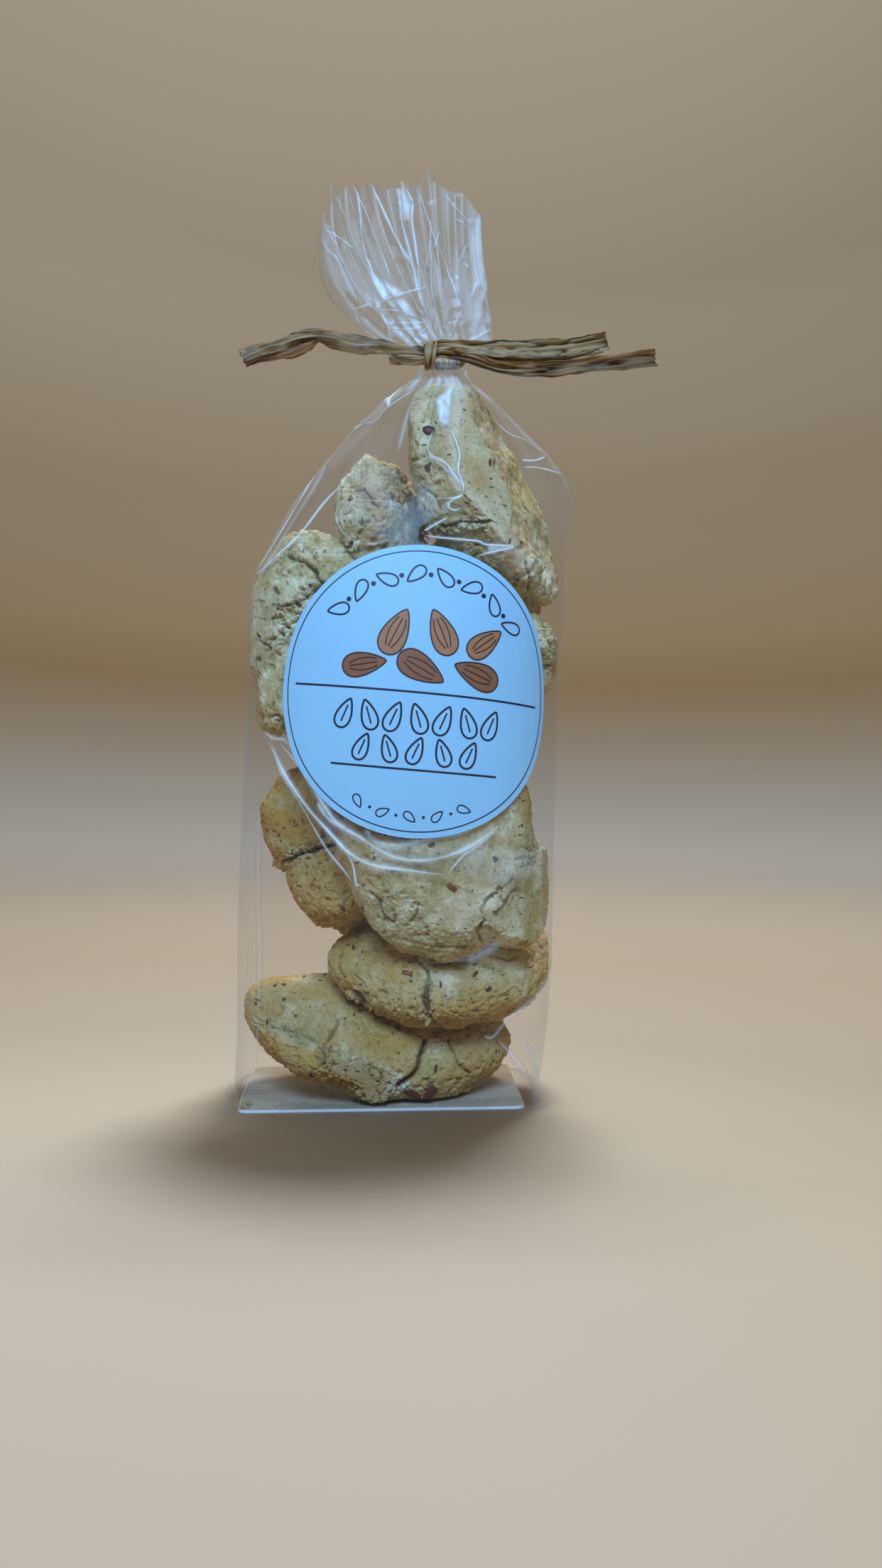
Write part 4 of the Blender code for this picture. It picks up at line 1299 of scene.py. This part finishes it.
def hairline_depth(local, cookie):
    """Fine cracks in patches of the dome."""
    patches = smooth_step(0.1, 0.4, noise(local, 17, cookie.seed + 20))
    bent = noise(local, 11, cookie.seed + 21) + 0.2 * noise(local, 2.2, cookie.seed + 22)
    above = smooth_step(-cookie.heights[1], 0, local[:, 2])
    return 0.5 * above * patches * np.exp(-((bent / 0.035) ** 2))


def photo_gaps(table, name, points):
    """A cookie's lines in a table of the photo's: each line's sizes, and how far the points lie from it."""
    places, scale = photo_pixels(points)
    for *sizes, line in table.get(name, ()):
        yield sizes, distance_to_line(places, line) * scale


def photo_crack_depth(name, points, normals):
    """The photo's cracks, carved into the side that faces the camera."""
    shown = smooth_step(0.05, 0.3, np.sum(normals * unit(CAMERA_PLACE - points), axis=1))
    wander = 0.3 * noise(points, 1.9, 41) + 0.16 * noise(points, 0.8, 42)
    width_change = 1 + 0.5 * noise(points, 3.0, 43)
    total = np.zeros(len(points))
    for (half_width, deep), gap in photo_gaps(PHOTO_CRACKS, name, points):
        gap = np.abs(gap + wander * min(1.0, half_width * 2.4))
        total = np.maximum(total, crack_cut(gap, half_width * width_change, deep * shown))
    return total


FILM_GAP = 0.7
BAG_MIDDLE_X = 8.0
BAG_HALF_WIDTH = 36
BAG_HALF_DEPTH = 19
SHOULDER_HEIGHT = 120


def keep_inside_film(points):
    """Moves points that would cross the film back inside it. Those well inside aren't tested."""
    kept = points.copy()
    reach = np.hypot((points[:, 0] - BAG_MIDDLE_X) / BAG_HALF_WIDTH, points[:, 1] / BAG_HALF_DEPTH)
    for index in np.nonzero((reach > 0.55) | (points[:, 2] > SHOULDER_HEIGHT))[0]:
        near, normal, _, distance = BAG_TREE.find_nearest(points[index])
        side = np.array(near[:]) - points[index]
        outside = side @ np.array(normal[:]) < 0
        if outside or distance < FILM_GAP:
            kept[index] = np.array(near[:]) - np.array(normal[:]) * FILM_GAP
    kept[:, 2] = np.maximum(kept[:, 2], CARD_TOP + 0.05)
    return kept


def crumbly_share(name, points):
    """1 in the broken stretches that the photo shows, fading out round them."""
    total = np.zeros(len(points))
    for (radius,), gap in photo_gaps(CRUMBLY_STRETCHES, name, points):
        total = np.maximum(total, 1 - smooth_step(0.4 * radius, 1.1 * radius, gap))
    return total


def ridge_height(name, points):
    """The photo's ridges, with a crisp top."""
    total = np.zeros(len(points))
    for (height, width), gap in photo_gaps(PHOTO_RIDGES, name, points):
        total = np.maximum(total, height * np.exp(-np.sqrt(gap**2 + 0.06) / width))
    return total


# Sizes of the clumps that the dough breaks into.
WIDE_CLUMP = 6.0
FINE_CLUMP = 2.3
GRAIN_CLUMP = 1.05


def surface_relief(local, cookie, crumbly):
    """Soft lumps and rounded crumbs, as heights over the cookie's plain form, and the crevices' depth."""
    crags = np.clip(noise(local, 17, cookie.seed + 9) + 0.2, 0, 1) * cookie.crag
    rough = 0.8 + 0.6 * np.clip(noise(local, 12, cookie.seed + 12) + 0.3, 0, 1) + 0.5 * crags + 1.0 * crumbly
    rise = 1.1 * noise(local, 14, cookie.seed + 3) + 0.75 * noise(local, 6.5, cookie.seed + 4)
    bent = np.column_stack([noise(local, 3.5, cookie.seed + step) for step in (30, 31, 32)])
    broken = np.clip(1.1 * crags + 0.9 * crumbly, 0, 1.5)
    loose = np.clip(crumbly + 0.4 * crags, 0, 1)
    wide_gap, wide_number = clumps(local + 1.1 * bent, WIDE_CLUMP, cookie.seed)
    fine_gap, fine_number = clumps(local + 0.5 * bent, FINE_CLUMP, cookie.seed + 1)
    grain_gap, grain_number = clumps(local + 0.3 * bent, GRAIN_CLUMP, cookie.seed + 2)
    rise += broken * (1.3 * wide_number - 0.3) * smooth_step(0.0, 1.8, wide_gap)
    rise += (0.16 + 0.6 * loose) * (fine_number + 0.2) * smooth_step(0, 0.8, fine_gap)
    rise += rough * 0.22 * (grain_number + 0.15) * smooth_step(0, 0.4, grain_gap)
    rise += rough * (0.2 * noise(local, 1.9, cookie.seed + 8) + 0.1 * noise(local, 0.6, cookie.seed + 14))
    opened = smooth_step(-0.05, 0.3, noise(local, 5.0, cookie.seed + 15))
    crevice = broken * opened * 0.8 * np.exp(-((wide_gap / 0.45) ** 2))
    crevice += loose * 0.35 * np.exp(-((fine_gap / 0.25) ** 2))
    pits = smooth_step(0.3, 0.6, noise(local, 1.7, cookie.seed + 10))
    return rise - 0.4 * pits, crevice + 0.25 * pits


# What makes a cookie golden: its rim, its base, what stands out and random patches. Crumbly dough is paler.
RIM_TOAST = 0.3
BASE_TOAST = 0.3
RISE_TOAST = 0.2
PATCH_TOAST = 0.45
CRUMBLY_PALENESS = 0.5


def build_cookie(name, cookie, material):
    """One cookie as a fine mesh, with lumps, crags, cracks and a grainy crumb."""
    up = unit(cookie.dome_towards)
    along = np.array(cookie.long_side, float)
    along = unit(along - (along @ up) * up)
    axes = np.array([along, np.cross(up, along), up])
    to_camera = unit(axes @ (CAMERA_PLACE - np.array(cookie.centre)))
    local = rounded_puck(crowded_directions(to_camera), cookie)
    points = np.array(cookie.centre) + local @ axes
    if name in COOKIE_OUTLINES:
        points = fit_outline(points, COOKIE_OUTLINES[name])
    mesh = FINE_BALL.copy()
    mesh.name = name
    place_points(mesh, points)
    normals = point_normals(mesh)
    crumbly = crumbly_share(name, points)
    rise, crevice = surface_relief(local, cookie, crumbly)
    ridge = ridge_height(name, points)
    rise += ridge
    points = points + normals * rise[:, None]
    crack_depth_and_shade = np.maximum(hairline_depth(local, cookie) + crevice, photo_crack_depth(name, points, normals))
    points = keep_inside_film(points - normals * crack_depth_and_shade[:, None])
    place_points(mesh, points)
    edge = smooth_step(0.75, 1.05, np.hypot(local[:, 0] / cookie.radii[0], local[:, 1] / cookie.radii[1]))
    under = smooth_step(0.5, -3.5, local[:, 2])
    # Each cookie's golden share is partly its baking and partly painted shade.
    toast_and_shade = GOLDEN_AND_SHADE_SHARES.get(name, 0.0) + RIM_TOAST * edge + BASE_TOAST * under
    toast_and_shade += RISE_TOAST * rise.clip(-0.8, 1)
    toast_and_shade += PATCH_TOAST * noise(local, 11, cookie.seed + 11) - CRUMBLY_PALENESS * crumbly
    set_values(mesh, "toast_and_shade", np.clip(toast_and_shade, 0, 1))
    # The depth of the cracks, crevices and pits also paints shade into them.
    set_values(mesh, "crack_depth_and_shade", smooth_step(0.35, 1.6, crack_depth_and_shade) * 0.8)
    # Ridges and raised lumps turn paler: partly pale broken crumb, partly painted highlight.
    set_values(mesh, "pale_crumb_and_highlight", np.clip(0.3 * ridge**2 + 0.1 * smooth_step(0.2, 1.0, rise - ridge), 0, 0.7))
    return add_piece(name, mesh, material)


COARSE_BALL, COARSE_DIRECTIONS = sphere_template(2)
COARSE_TRIANGLES = np.array([polygon.vertices[:] for polygon in COARSE_BALL.polygons])
LUMP_ROUGHNESS = 0.16


def small_lump(centre, sizes, normal, random):
    """The points of one rough lump."""
    turned = unit(random.normal(size=3))
    side = unit(np.cross(normal, turned))
    axes = np.array([side, np.cross(normal, side), normal])
    corners = np.sign(COARSE_DIRECTIONS) * np.abs(COARSE_DIRECTIONS) ** 0.75
    uneven = 1 + LUMP_ROUGHNESS * random.normal(size=(len(COARSE_DIRECTIONS), 1))
    return centre + (corners * sizes * uneven) @ axes


def lump_mesh(name, lumps):
    """One mesh of all the lumps."""
    starts = np.arange(len(lumps)) * len(COARSE_DIRECTIONS)
    faces = COARSE_TRIANGLES + starts[:, None, None]
    return mesh_from(name, np.concatenate(lumps), faces.reshape(-1, 3))


def almond_lump(centre, normal, length, width, random):
    """An almond piece, sunk a little into its cookie."""
    sizes = np.array((length, width, min(length, width) * 0.7)) / 2
    return small_lump(centre - normal * sizes[2] * 0.35, sizes, normal, random)


def build_almonds(cookies):
    """Chopped almond set into the cookies, where the photo shows it and at random elsewhere."""
    random = np.random.default_rng(61)
    lumps, skins = [], []
    trees = {name: search_tree(cookies[name].data) for name, *_ in PHOTO_ALMONDS}
    for name, pixel, length, width, skin in PHOTO_ALMONDS:
        place, normal, _, _ = trees[name].ray_cast(CAMERA_PLACE, photo_ray(pixel))
        if place:
            lumps.append(almond_lump(np.array(place[:]), np.array(normal[:]), length, width, random))
            skins.append(skin)
    for cookie in cookies.values():
        normals = point_normals(cookie.data)
        for index in random.integers(0, len(normals), ALMONDS_PER_COOKIE):
            centre = np.array(cookie.data.vertices[index].co) / MM
            length = random.uniform(0.7, 1.6)
            width = length * random.uniform(0.4, 0.75)
            skins.append(random.uniform(0.2, 1.0))
            lumps.append(almond_lump(centre, normals[index], length, width, random))
    mesh = lump_mesh("almond_pieces", lumps)
    set_values(mesh, "skin", np.repeat(skins, len(COARSE_DIRECTIONS)))
    add_piece("almond_pieces", mesh, almond_material())


def build_crumbs(material):
    """Crumbs on the card, some where the photo shows them."""
    random = np.random.default_rng(83)
    places = []
    for pixel, size in PHOTO_CRUMBS:
        ray = photo_ray(pixel)
        place = CAMERA_PLACE + ray * (CARD_TOP - CAMERA_PLACE[2]) / ray[2]
        places.append((place[0], max(place[1], CRUMBS_FOREMOST), size))
    for _ in range(LOOSE_CRUMBS):
        places.append((random.uniform(-30, 30), random.uniform(-17, 17), random.uniform(0.25, 0.8)))
    lumps = []
    for x, y, size in places:
        sizes = np.array((1, random.uniform(0.6, 0.9), random.uniform(0.5, 0.8))) * size / 2
        centre = np.array((x, y, CARD_TOP + sizes[2] * 0.8))
        lumps.append(small_lump(centre, sizes, np.array(UPWARDS), random))
    mesh = lump_mesh("cookie_crumbs", lumps)
    set_values(mesh, "toast_and_shade", np.full(len(mesh.vertices), CRUMB_TOAST))
    set_values(mesh, "crack_depth_and_shade", np.zeros(len(mesh.vertices)))
    add_piece("cookie_crumbs", mesh, material)


LABEL_STEP = 0.75
LABEL_REACH = 37.5
SLOPE_REACH = 0.8
BEFORE_BAG = 90.0


def bag_depth(x, z):
    """How far back the bag's front lies. Beside the bag it counts as the middle."""
    return (BAG_TREE.ray_cast((x, -BEFORE_BAG, z), (0, 1, 0))[3] or BEFORE_BAG) - BEFORE_BAG


def label_tables():
    """Where the flat label's places lie on the bag: at each height, points at even lengths along the film."""
    heights = np.arange(LABEL_HEIGHT - LABEL_REACH, LABEL_HEIGHT + LABEL_REACH, LABEL_STEP)
    across = np.arange(LABEL_X - LABEL_REACH, LABEL_X + LABEL_REACH, LABEL_STEP)
    depth = np.array([[bag_depth(x, z) for x in across] for z in heights])
    depth = gaussian(gaussian(depth, 3.0, 0), 3.0, 1)
    even = np.arange(-LABEL_REACH, LABEL_REACH, LABEL_STEP)
    table = np.empty((len(heights), len(even), 3))
    for row, height in enumerate(heights):
        length = np.concatenate([[0], np.cumsum(np.hypot(np.diff(across), np.diff(depth[row])))])
        length -= np.interp(LABEL_X, across, length)
        table[row, :, 0] = np.interp(even, length, across)
        table[row, :, 1] = np.interp(even, length, depth[row])
        table[row, :, 2] = height
    return table


LABEL_TABLE = label_tables()


def from_label_table(across, up):
    """Blends the table's four points round each place."""
    row = np.clip((up + LABEL_REACH) / LABEL_STEP, 0, LABEL_TABLE.shape[0] - 1.001)
    column = np.clip((across + LABEL_REACH) / LABEL_STEP, 0, LABEL_TABLE.shape[1] - 1.001)
    low, left = row.astype(int), column.astype(int)
    rise, run = (row - low)[..., None], (column - left)[..., None]
    lower = LABEL_TABLE[low, left] * (1 - run) + LABEL_TABLE[low, left + 1] * run
    upper = LABEL_TABLE[low + 1, left] * (1 - run) + LABEL_TABLE[low + 1, left + 1] * run
    return lower * (1 - rise) + upper * rise


def tilted(centre, along, across, tilt):
    """Places along and across an axis that is tilted round a centre."""
    return (
        centre[0] + along * math.cos(tilt) - across * math.sin(tilt),
        centre[1] + along * math.sin(tilt) + across * math.cos(tilt),
    )


def on_label(across, up, lift):
    """Wraps places on the flat label round the bag, at a height above the film."""
    across, up = np.asarray(across, float), np.asarray(up, float)
    x, z = tilted((0, 0), across, up, LABEL_TURN)
    here = from_label_table(x, z)
    sideways = from_label_table(x + SLOPE_REACH, z) - from_label_table(x - SLOPE_REACH, z)
    upwards = from_label_table(x, z + SLOPE_REACH) - from_label_table(x, z - SLOPE_REACH)
    outward = unit(np.cross(sideways, upwards))
    wave = 0.16 * grid_noise(15.0, 31, across, up, across * 0)
    return here + outward * (lift + wave)[..., None]


LABEL_RINGS = 36
INNERMOST_RING = 0.4
LABEL_SPOKES = 180
ALMOND_POINTS = 30
DOT_POINTS = 16
RING_POINTS = 200


def build_label():
    """The round paper label, thin and slightly wavy, bent over the front of the bag."""
    radius = np.linspace(INNERMOST_RING, LABEL_DIAMETER / 2, LABEL_RINGS)[:, None]
    angle = full_turn(LABEL_SPOKES)[None, :]
    across, up = radius * np.cos(angle), radius * np.sin(angle)
    front = on_label(across, up, LABEL_LIFT + LABEL_THICKNESS)
    back = on_label(across, up, LABEL_LIFT)
    sheet = np.concatenate([front, back[::-1]])
    mesh = mesh_from("round_label_paper", sheet, capped_faces(len(sheet), LABEL_SPOKES))
    mesh.set_sharp_from_angle(angle=math.radians(50))
    piece = add_piece("label_paper_disc", mesh, label_material())
    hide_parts("round_label")


def stroke(across, up, width, lift=0.0, closed=False):
    """A printed line of even width through the given places on the label."""
    line = np.stack([np.asarray(across, float), np.asarray(up, float)], -1)
    if closed:
        run = np.roll(line, -1, axis=0) - np.roll(line, 1, axis=0)
    else:
        run = np.gradient(line, axis=0)
    side = unit(np.stack([-run[:, 1], run[:, 0]], -1)) * width / 2
    pair = np.stack([line - side, line + side])
    return on_label(pair[..., 0], pair[..., 1], INK_LIFT + lift), closed


def almond_outline(centre, length, width, tilt):
    """Places round an almond shape: round at one end and pointed at the other."""
    turn = full_turn(ALMOND_POINTS)
    along = np.cos(turn) * length / 2
    across = np.sin(turn) * width / 2 * (1 - 0.28 * np.cos(turn)) * np.abs(np.sin(turn / 2)) ** 0.35
    return tilted(centre, along, across, tilt)


def filled(outline, centre, lift=0.0):
    """A printed patch inside an outline."""
    share = np.linspace(0.02, 1, 7)[:, None]
    across = centre[0] + (outline[0][None, :] - centre[0]) * share
    up = centre[1] + (outline[1][None, :] - centre[1]) * share
    return on_label(across, up, INK_LIFT + lift), True


def dot(centre, radius):
    turn = full_turn(DOT_POINTS)
    return filled((centre[0] + radius * np.cos(turn), centre[1] + radius * np.sin(turn)), centre)


def add_print(name, grids, material):
    points, faces = joined_grids(grids)
    add_piece(name, mesh_from(name, points, faces), material)


def garland(radius, first, last, count, length, width, thick):
    """Almond outlines with dots between them, along an arc of the label. Angles are in degrees."""
    shapes = []
    for step in range(count):
        angle = math.radians(first + (last - first) * step / (count - 1))
        centre = (radius * math.cos(angle), radius * math.sin(angle))
        if step % 2:
            shapes.append(dot(centre, width * 0.2))
            continue
        lean = angle + math.pi / 2 + math.radians(38 if step % 4 else -38)
        across, up = almond_outline(centre, length, width, lean)
        shapes.append(stroke(across, up, thick, closed=True))
    return shapes


def leaf_row(up, half_length, count, length, width, thick):
    """A row of upright almond outlines, each with a vein, leaning by turns."""
    shapes = []
    for step in range(count):
        centre = (half_length * (2 * step / (count - 1) - 1), up)
        lean = math.radians(90 + (20 if step % 2 else -20))
        shapes.append(stroke(*almond_outline(centre, length, width, lean), thick, closed=True))
        reach = np.linspace(-0.3, 0.28, 8) * length
        shapes.append(stroke(*tilted(centre, reach, 0.0, lean), thick * 0.8))
    return shapes


# The print's sizes: the thin ring, then the rules' half length, height and points.
RING_INSET = 1.4
RING_WIDTH = 0.26
RULES = ((28.3, -0.4, 60), (18.2, -17.0, 40))
RULE_WIDTH = 0.45
# Garlands: radius, first and last angle, count, length, width and thickness of line.
UPPER_GARLAND = (25.2, 140, 40, 15, 4.9, 2.7, 0.4)
LOWER_GARLAND = (27.2, 245, 295, 9, 3.0, 1.7, 0.3)
# Rows of outlines: height, half length, count, length, width and thickness of line.
LEAF_ROWS = ((-6.0, 16.0, 7, 6.6, 3.6, 0.45), (-12.9, 11.6, 5, 6.0, 3.3, 0.45))
PATCH_LIFT = 0.02
LINE_LIFT = 0.07
OUTLINE_WIDTH = 0.3
VEIN_WIDTH = 0.26
# The veins' places across an almond, as shares of its width.
VEIN_PLACES = (-0.24, 0.0, 0.24)
ALMOND_INKS = (("almond_ink", (158, 104, 74)), ("pale_almond_ink", (188, 134, 96)))
# Coloured almonds: centre, length, width and tilt in degrees.
PRINTED_ALMONDS = (
    ((-12.6, 4.8), 9.6, 5.4, 12), ((-6.4, 12.2), 10.6, 6.0, 68), ((-0.4, 4.8), 11.0, 6.2, -26),
    ((3.4, 13.0), 10.4, 5.8, 116), ((11.8, 4.7), 10.6, 6.0, 162), ((13.2, 11.8), 9.4, 5.2, 40),
)


def build_print():
    """Ring, rules, garlands, rows of almond outlines and a few coloured almonds."""
    turn = full_turn(RING_POINTS)
    ring = LABEL_DIAMETER / 2 - RING_INSET
    ink = [stroke(ring * np.cos(turn), ring * np.sin(turn), RING_WIDTH, closed=True)]
    for half, up, count in RULES:
        ink.append(stroke(np.linspace(-half, half, count), np.full(count, up), RULE_WIDTH))
    ink += garland(*UPPER_GARLAND)
    for row in LEAF_ROWS:
        ink += leaf_row(*row)
    ink += garland(*LOWER_GARLAND)
    add_print("label_ink", ink, ink_material("dark_ink", (44, 46, 66)))
    for index, (ink_name, shade) in enumerate(ALMOND_INKS):
        patches = []
        for centre, length, width, tilt in PRINTED_ALMONDS[index::2]:
            outline = almond_outline(centre, length, width, math.radians(tilt))
            patches.append(filled(outline, centre, PATCH_LIFT * (index + 1)))
        add_print(f"label_almonds_{index}", patches, ink_material(ink_name, shade))
    lines = []
    for centre, length, width, tilt in PRINTED_ALMONDS:
        lean = math.radians(tilt)
        outline = almond_outline(centre, length, width, lean)
        lines.append(stroke(*outline, OUTLINE_WIDTH, LINE_LIFT, closed=True))
        for share in VEIN_PLACES:
            reach = np.linspace(-0.34, 0.3, 10) * length
            bow = share * width * (1 - (reach / length * 2.2) ** 2)
            lines.append(stroke(*tilted(centre, reach, bow, lean), VEIN_WIDTH, LINE_LIFT))
    add_print("label_almond_lines", lines, ink_material("brown_ink", (74, 44, 38)))


STRIP_STATIONS = 150
STRIP_SIDES = 44
STRIP_THICKNESS = 0.42
STRIP_CURL = 0.9
TIGHT_CURL = 0.25


def strip_grid(route, seed, upright, curl):
    """A dry strip as a closed tube along a route: points, their lengthwise and crosswise places, and painted
    shade in its grooves.
    """
    path = spline(route, STRIP_STATIONS)
    centre, width, twist = path[:, :3], path[:, 3], np.radians(path[:, 4])
    forward = unit(np.gradient(centre, axis=0))
    up = unit(np.array(upright) - (forward @ np.array(upright))[:, None] * forward)
    face = np.cross(forward, up)
    wide = up * np.cos(twist)[:, None] + face * np.sin(twist)[:, None]
    thick = np.cross(forward, wide)
    along = length_along(centre)
    turn = full_turn(STRIP_SIDES)
    across = np.sin(turn)
    station = np.repeat(along[:, None], STRIP_SIDES, axis=1)
    crosswise = across[None, :] * width[:, None] / 2
    samples = np.stack([station / 9.0, crosswise / 0.55, np.full_like(station, seed * 3.7)], -1)
    samples = samples.reshape(-1, 3)
    grooves = 0.34 * noise(samples, 1.0, seed) + 0.15 * noise(samples * (2.2, 2.6, 1), 1.0, seed + 1)
    grooves -= 0.5 * np.exp(-((noise(samples * (0.6, 0.45, 1), 1.0, seed + 5) / 0.09) ** 2))
    grooves = grooves.reshape(station.shape)
    crumple = 0.5 * grid_noise(1.0, seed + 2, station / 5.5, crosswise / 2.0, station * 0)
    fold = curl * (across[None, :] ** 2 - 0.35) * width[:, None] / 4 + crumple
    ragged = 1 + 0.13 * grid_noise(1.0, seed + 3, along / 3.2, along * 0, along * 0)
    depth = np.cos(turn)[None, :] * STRIP_THICKNESS / 2 + fold + grooves
    sideways = crosswise * ragged[:, None]
    lag = 0.9 * grid_noise(1.0, seed + 4, crosswise / 0.6, crosswise * 0, crosswise * 0)
    near_end = smooth_step(along[-1] - 3.0, along[-1], along)[:, None]
    points = centre[:, None] + wide[:, None] * sideways[..., None] + thick[:, None] * depth[..., None]
    points += forward[:, None] * (lag * near_end)[..., None]
    return points, station + seed * 40.0, crosswise, smooth_step(0.05, -0.5, grooves)


def neck_turn_route():
    """The strips wound round the neck, as one rising helix."""
    turns = np.linspace(0, 2 * math.pi * NECK_TURNS, 30)
    radius = NECK_RADIUS + 0.7
    rises = TURNS_LOWEST + TURNS_RISE * turns / turns[-1]
    return tuple(
        (NECK_PLACE[0] + radius * math.cos(turn), radius * math.sin(turn), height, TURN_WIDTH, 0)
        for turn, height in zip(turns, rises)
    )


# How pale each strip is, and how much of its orange inner side shows.
STRIP_TONES = {
    "left_tail": (0.3, 0.0), "left_flap": (0.0, 0.85), "left_stub": (0.5, 0.15),
    "upper_right_tail": (0.5, 0.0), "upper_right_lower": (0.75, 0.1), "lower_right_tail": (0.0, 0.08),
    "neck_turns": (0.3, 0.0), "knot_wrap": (0.7, 0.0),
}


def build_raffia():
    """All the strips of the tie, joined in one piece that stands for the solid tie."""
    routes = [(name, route, UPWARDS, STRIP_CURL) for name, route in RAFFIA_STRIPS.items()]
    routes.append(("neck_turns", neck_turn_route(), UPWARDS, TIGHT_CURL))
    routes.append(("knot_wrap", KNOT_WRAP, SIDEWAYS, TIGHT_CURL))
    points, faces = [], []
    values = {"along": [], "across": [], "groove_shade": [], "paleness": [], "inner": []}
    for seed, (name, route, upright, curl) in enumerate(routes):
        grid, lengthwise, crosswise, groove_shade = strip_grid(route, seed + 1, upright, curl)
        faces += capped_faces(STRIP_STATIONS, STRIP_SIDES, len(points) * STRIP_STATIONS * STRIP_SIDES)
        points.append(grid.reshape(-1, 3))
        patchy = 1 + 0.8 * noise(grid.reshape(-1, 3) / (3.0, 1.2, 1.0), 3.0, seed)
        paleness, inner = (tone * patchy.clip(0) for tone in STRIP_TONES[name])
        for key, value in zip(values, (lengthwise, crosswise, groove_shade * 0.8, paleness, inner)):
            values[key].append(value.ravel())
    mesh = mesh_from("raffia_strips", np.concatenate(points), faces)
    for key, value in values.items():
        set_values(mesh, key, np.concatenate(value))
    piece = add_piece("raffia_strips", mesh, raffia_material())
    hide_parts("raffia_tie")


# The backdrop's sizes, in metres.
BACKDROP_RADIUS = 1.0
BACKDROP_BEND = 0.42
BACKDROP_HEIGHT = 1.25
BACKDROP_SPOKES = 96
BEND_STEPS = 24
FLOOR_RINGS = 19


def build_backdrop():
    """A round pale sweep: a floor that bends up into a wall on all sides."""
    bend = np.linspace(0, math.pi / 2, BEND_STEPS)
    inner = BACKDROP_RADIUS - BACKDROP_BEND
    floor = np.linspace(0.001, inner, FLOOR_RINGS + 1)[:-1]
    radius = np.concatenate([floor, inner + BACKDROP_BEND * np.sin(bend), [BACKDROP_RADIUS]])[:, None]
    height = np.concatenate([np.zeros(FLOOR_RINGS), BACKDROP_BEND * (1 - np.cos(bend)), [BACKDROP_HEIGHT]])
    turn = full_turn(BACKDROP_SPOKES)
    height = np.repeat(height[:, None], BACKDROP_SPOKES, axis=1)
    grid = np.stack([radius * np.cos(turn), radius * np.sin(turn), height], -1)
    mesh = mesh_from("backdrop", grid / MM, grid_faces(len(radius), BACKDROP_SPOKES, closed=True))
    mesh.materials.append(backdrop_material())
    stage = bpy.data.objects.new("backdrop", mesh)
    bpy.context.scene.collection.objects.link(stage)
    return stage


class AreaLight(NamedTuple):
    """A soft light: place and target in millimetres, size in metres, watts and colour."""

    place: tuple
    target: tuple
    size: tuple
    watts: float
    shade: tuple


KEY_LIGHT = AreaLight((-50, -510, 560), (10, -15, 90), (0.5, 0.26), 6.2, (0.36, 0.62, 0.97))
TOP_LIGHT = AreaLight((95, 265, 885), (0, 0, 60), (0.22, 0.16), 6.3, (1.0, 0.98, 0.93))
WALL_LIGHT = AreaLight((0, 400, 1150), (0, 1000, 500), (1.0, 0.3), 5.0, (1.0, 0.93, 0.82))
ROOM_COLOUR = (1.0, 0.64, 0.33, 1)
ROOM_STRENGTH = 0.16


def add_area_light(name, chosen, mirrored=True):
    """An area light that the camera doesn't see. Glossy surfaces mirror it only where that is asked."""
    light = bpy.data.lights.new(name, "AREA")
    light.shape = "RECTANGLE"
    light.size, light.size_y = chosen.size
    light.energy = chosen.watts
    light.color = chosen.shade
    lamp = bpy.data.objects.new(name, light)
    lamp.visible_camera = False
    lamp.visible_glossy = mirrored
    bpy.context.scene.collection.objects.link(lamp)
    lamp.location = [value * MM for value in chosen.place]
    aim = np.array(chosen.target, float) - np.array(chosen.place, float)
    lamp.rotation_euler = Vector(aim).to_track_quat("-Z", "Y").to_euler()
    return lamp


def leave_out(lamp, piece):
    """Keeps a light off one piece."""
    left_out = bpy.data.collections.new(lamp.name + "_leaves_out")
    left_out.objects.link(piece)
    left_out.collection_objects[0].light_linking.link_state = "EXCLUDE"
    lamp.light_linking.receiver_collection = left_out


def build_lights(backdrop):
    """A cool light high in front that spares the backdrop, one behind, one on the wall, and a warm room."""
    leave_out(add_area_light("key_light", KEY_LIGHT), backdrop)
    add_area_light("top_light", TOP_LIGHT, mirrored=False)
    add_area_light("wall_light", WALL_LIGHT, mirrored=False)
    world = bpy.data.worlds.new("room")
    world.use_nodes = True
    background = world.node_tree.nodes["Background"]
    background.inputs["Color"].default_value = ROOM_COLOUR
    background.inputs["Strength"].default_value = ROOM_STRENGTH
    bpy.context.scene.world = world


def build_camera():
    camera = bpy.data.cameras.new("camera")
    camera.sensor_width = SENSOR
    camera.lens = FOCAL_PIXELS / PHOTO_HEIGHT * SENSOR
    camera.clip_start = 0.01
    camera.clip_end = 10
    holder = bpy.data.objects.new("camera", camera)
    bpy.context.scene.collection.objects.link(holder)
    holder.location = CAMERA_PLACE * MM
    holder.rotation_euler = (math.pi / 2, 0, -CAMERA_TURN)
    bpy.context.scene.camera = holder


def set_picture():
    scene = bpy.context.scene
    scene.view_settings.view_transform = "Standard"
    scene.view_settings.look = "None"
    scene.cycles.transparent_max_bounces = 32
    scene.cycles.max_bounces = 10
    scene.cycles.use_denoising = True


def build_pack():
    cookie_finish = cookie_material()
    cookies = {name: build_cookie(name, cookie, cookie_finish) for name, cookie in COOKIES.items()}
    build_almonds(cookies)
    build_crumbs(cookie_finish)
    build_film()
    build_label()
    build_print()
    build_raffia()
    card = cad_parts["base_card"]
    card.data.materials.clear()
    card.data.materials.append(card_material())


build_camera()
set_picture()
build_lights(build_backdrop())
build_pack()
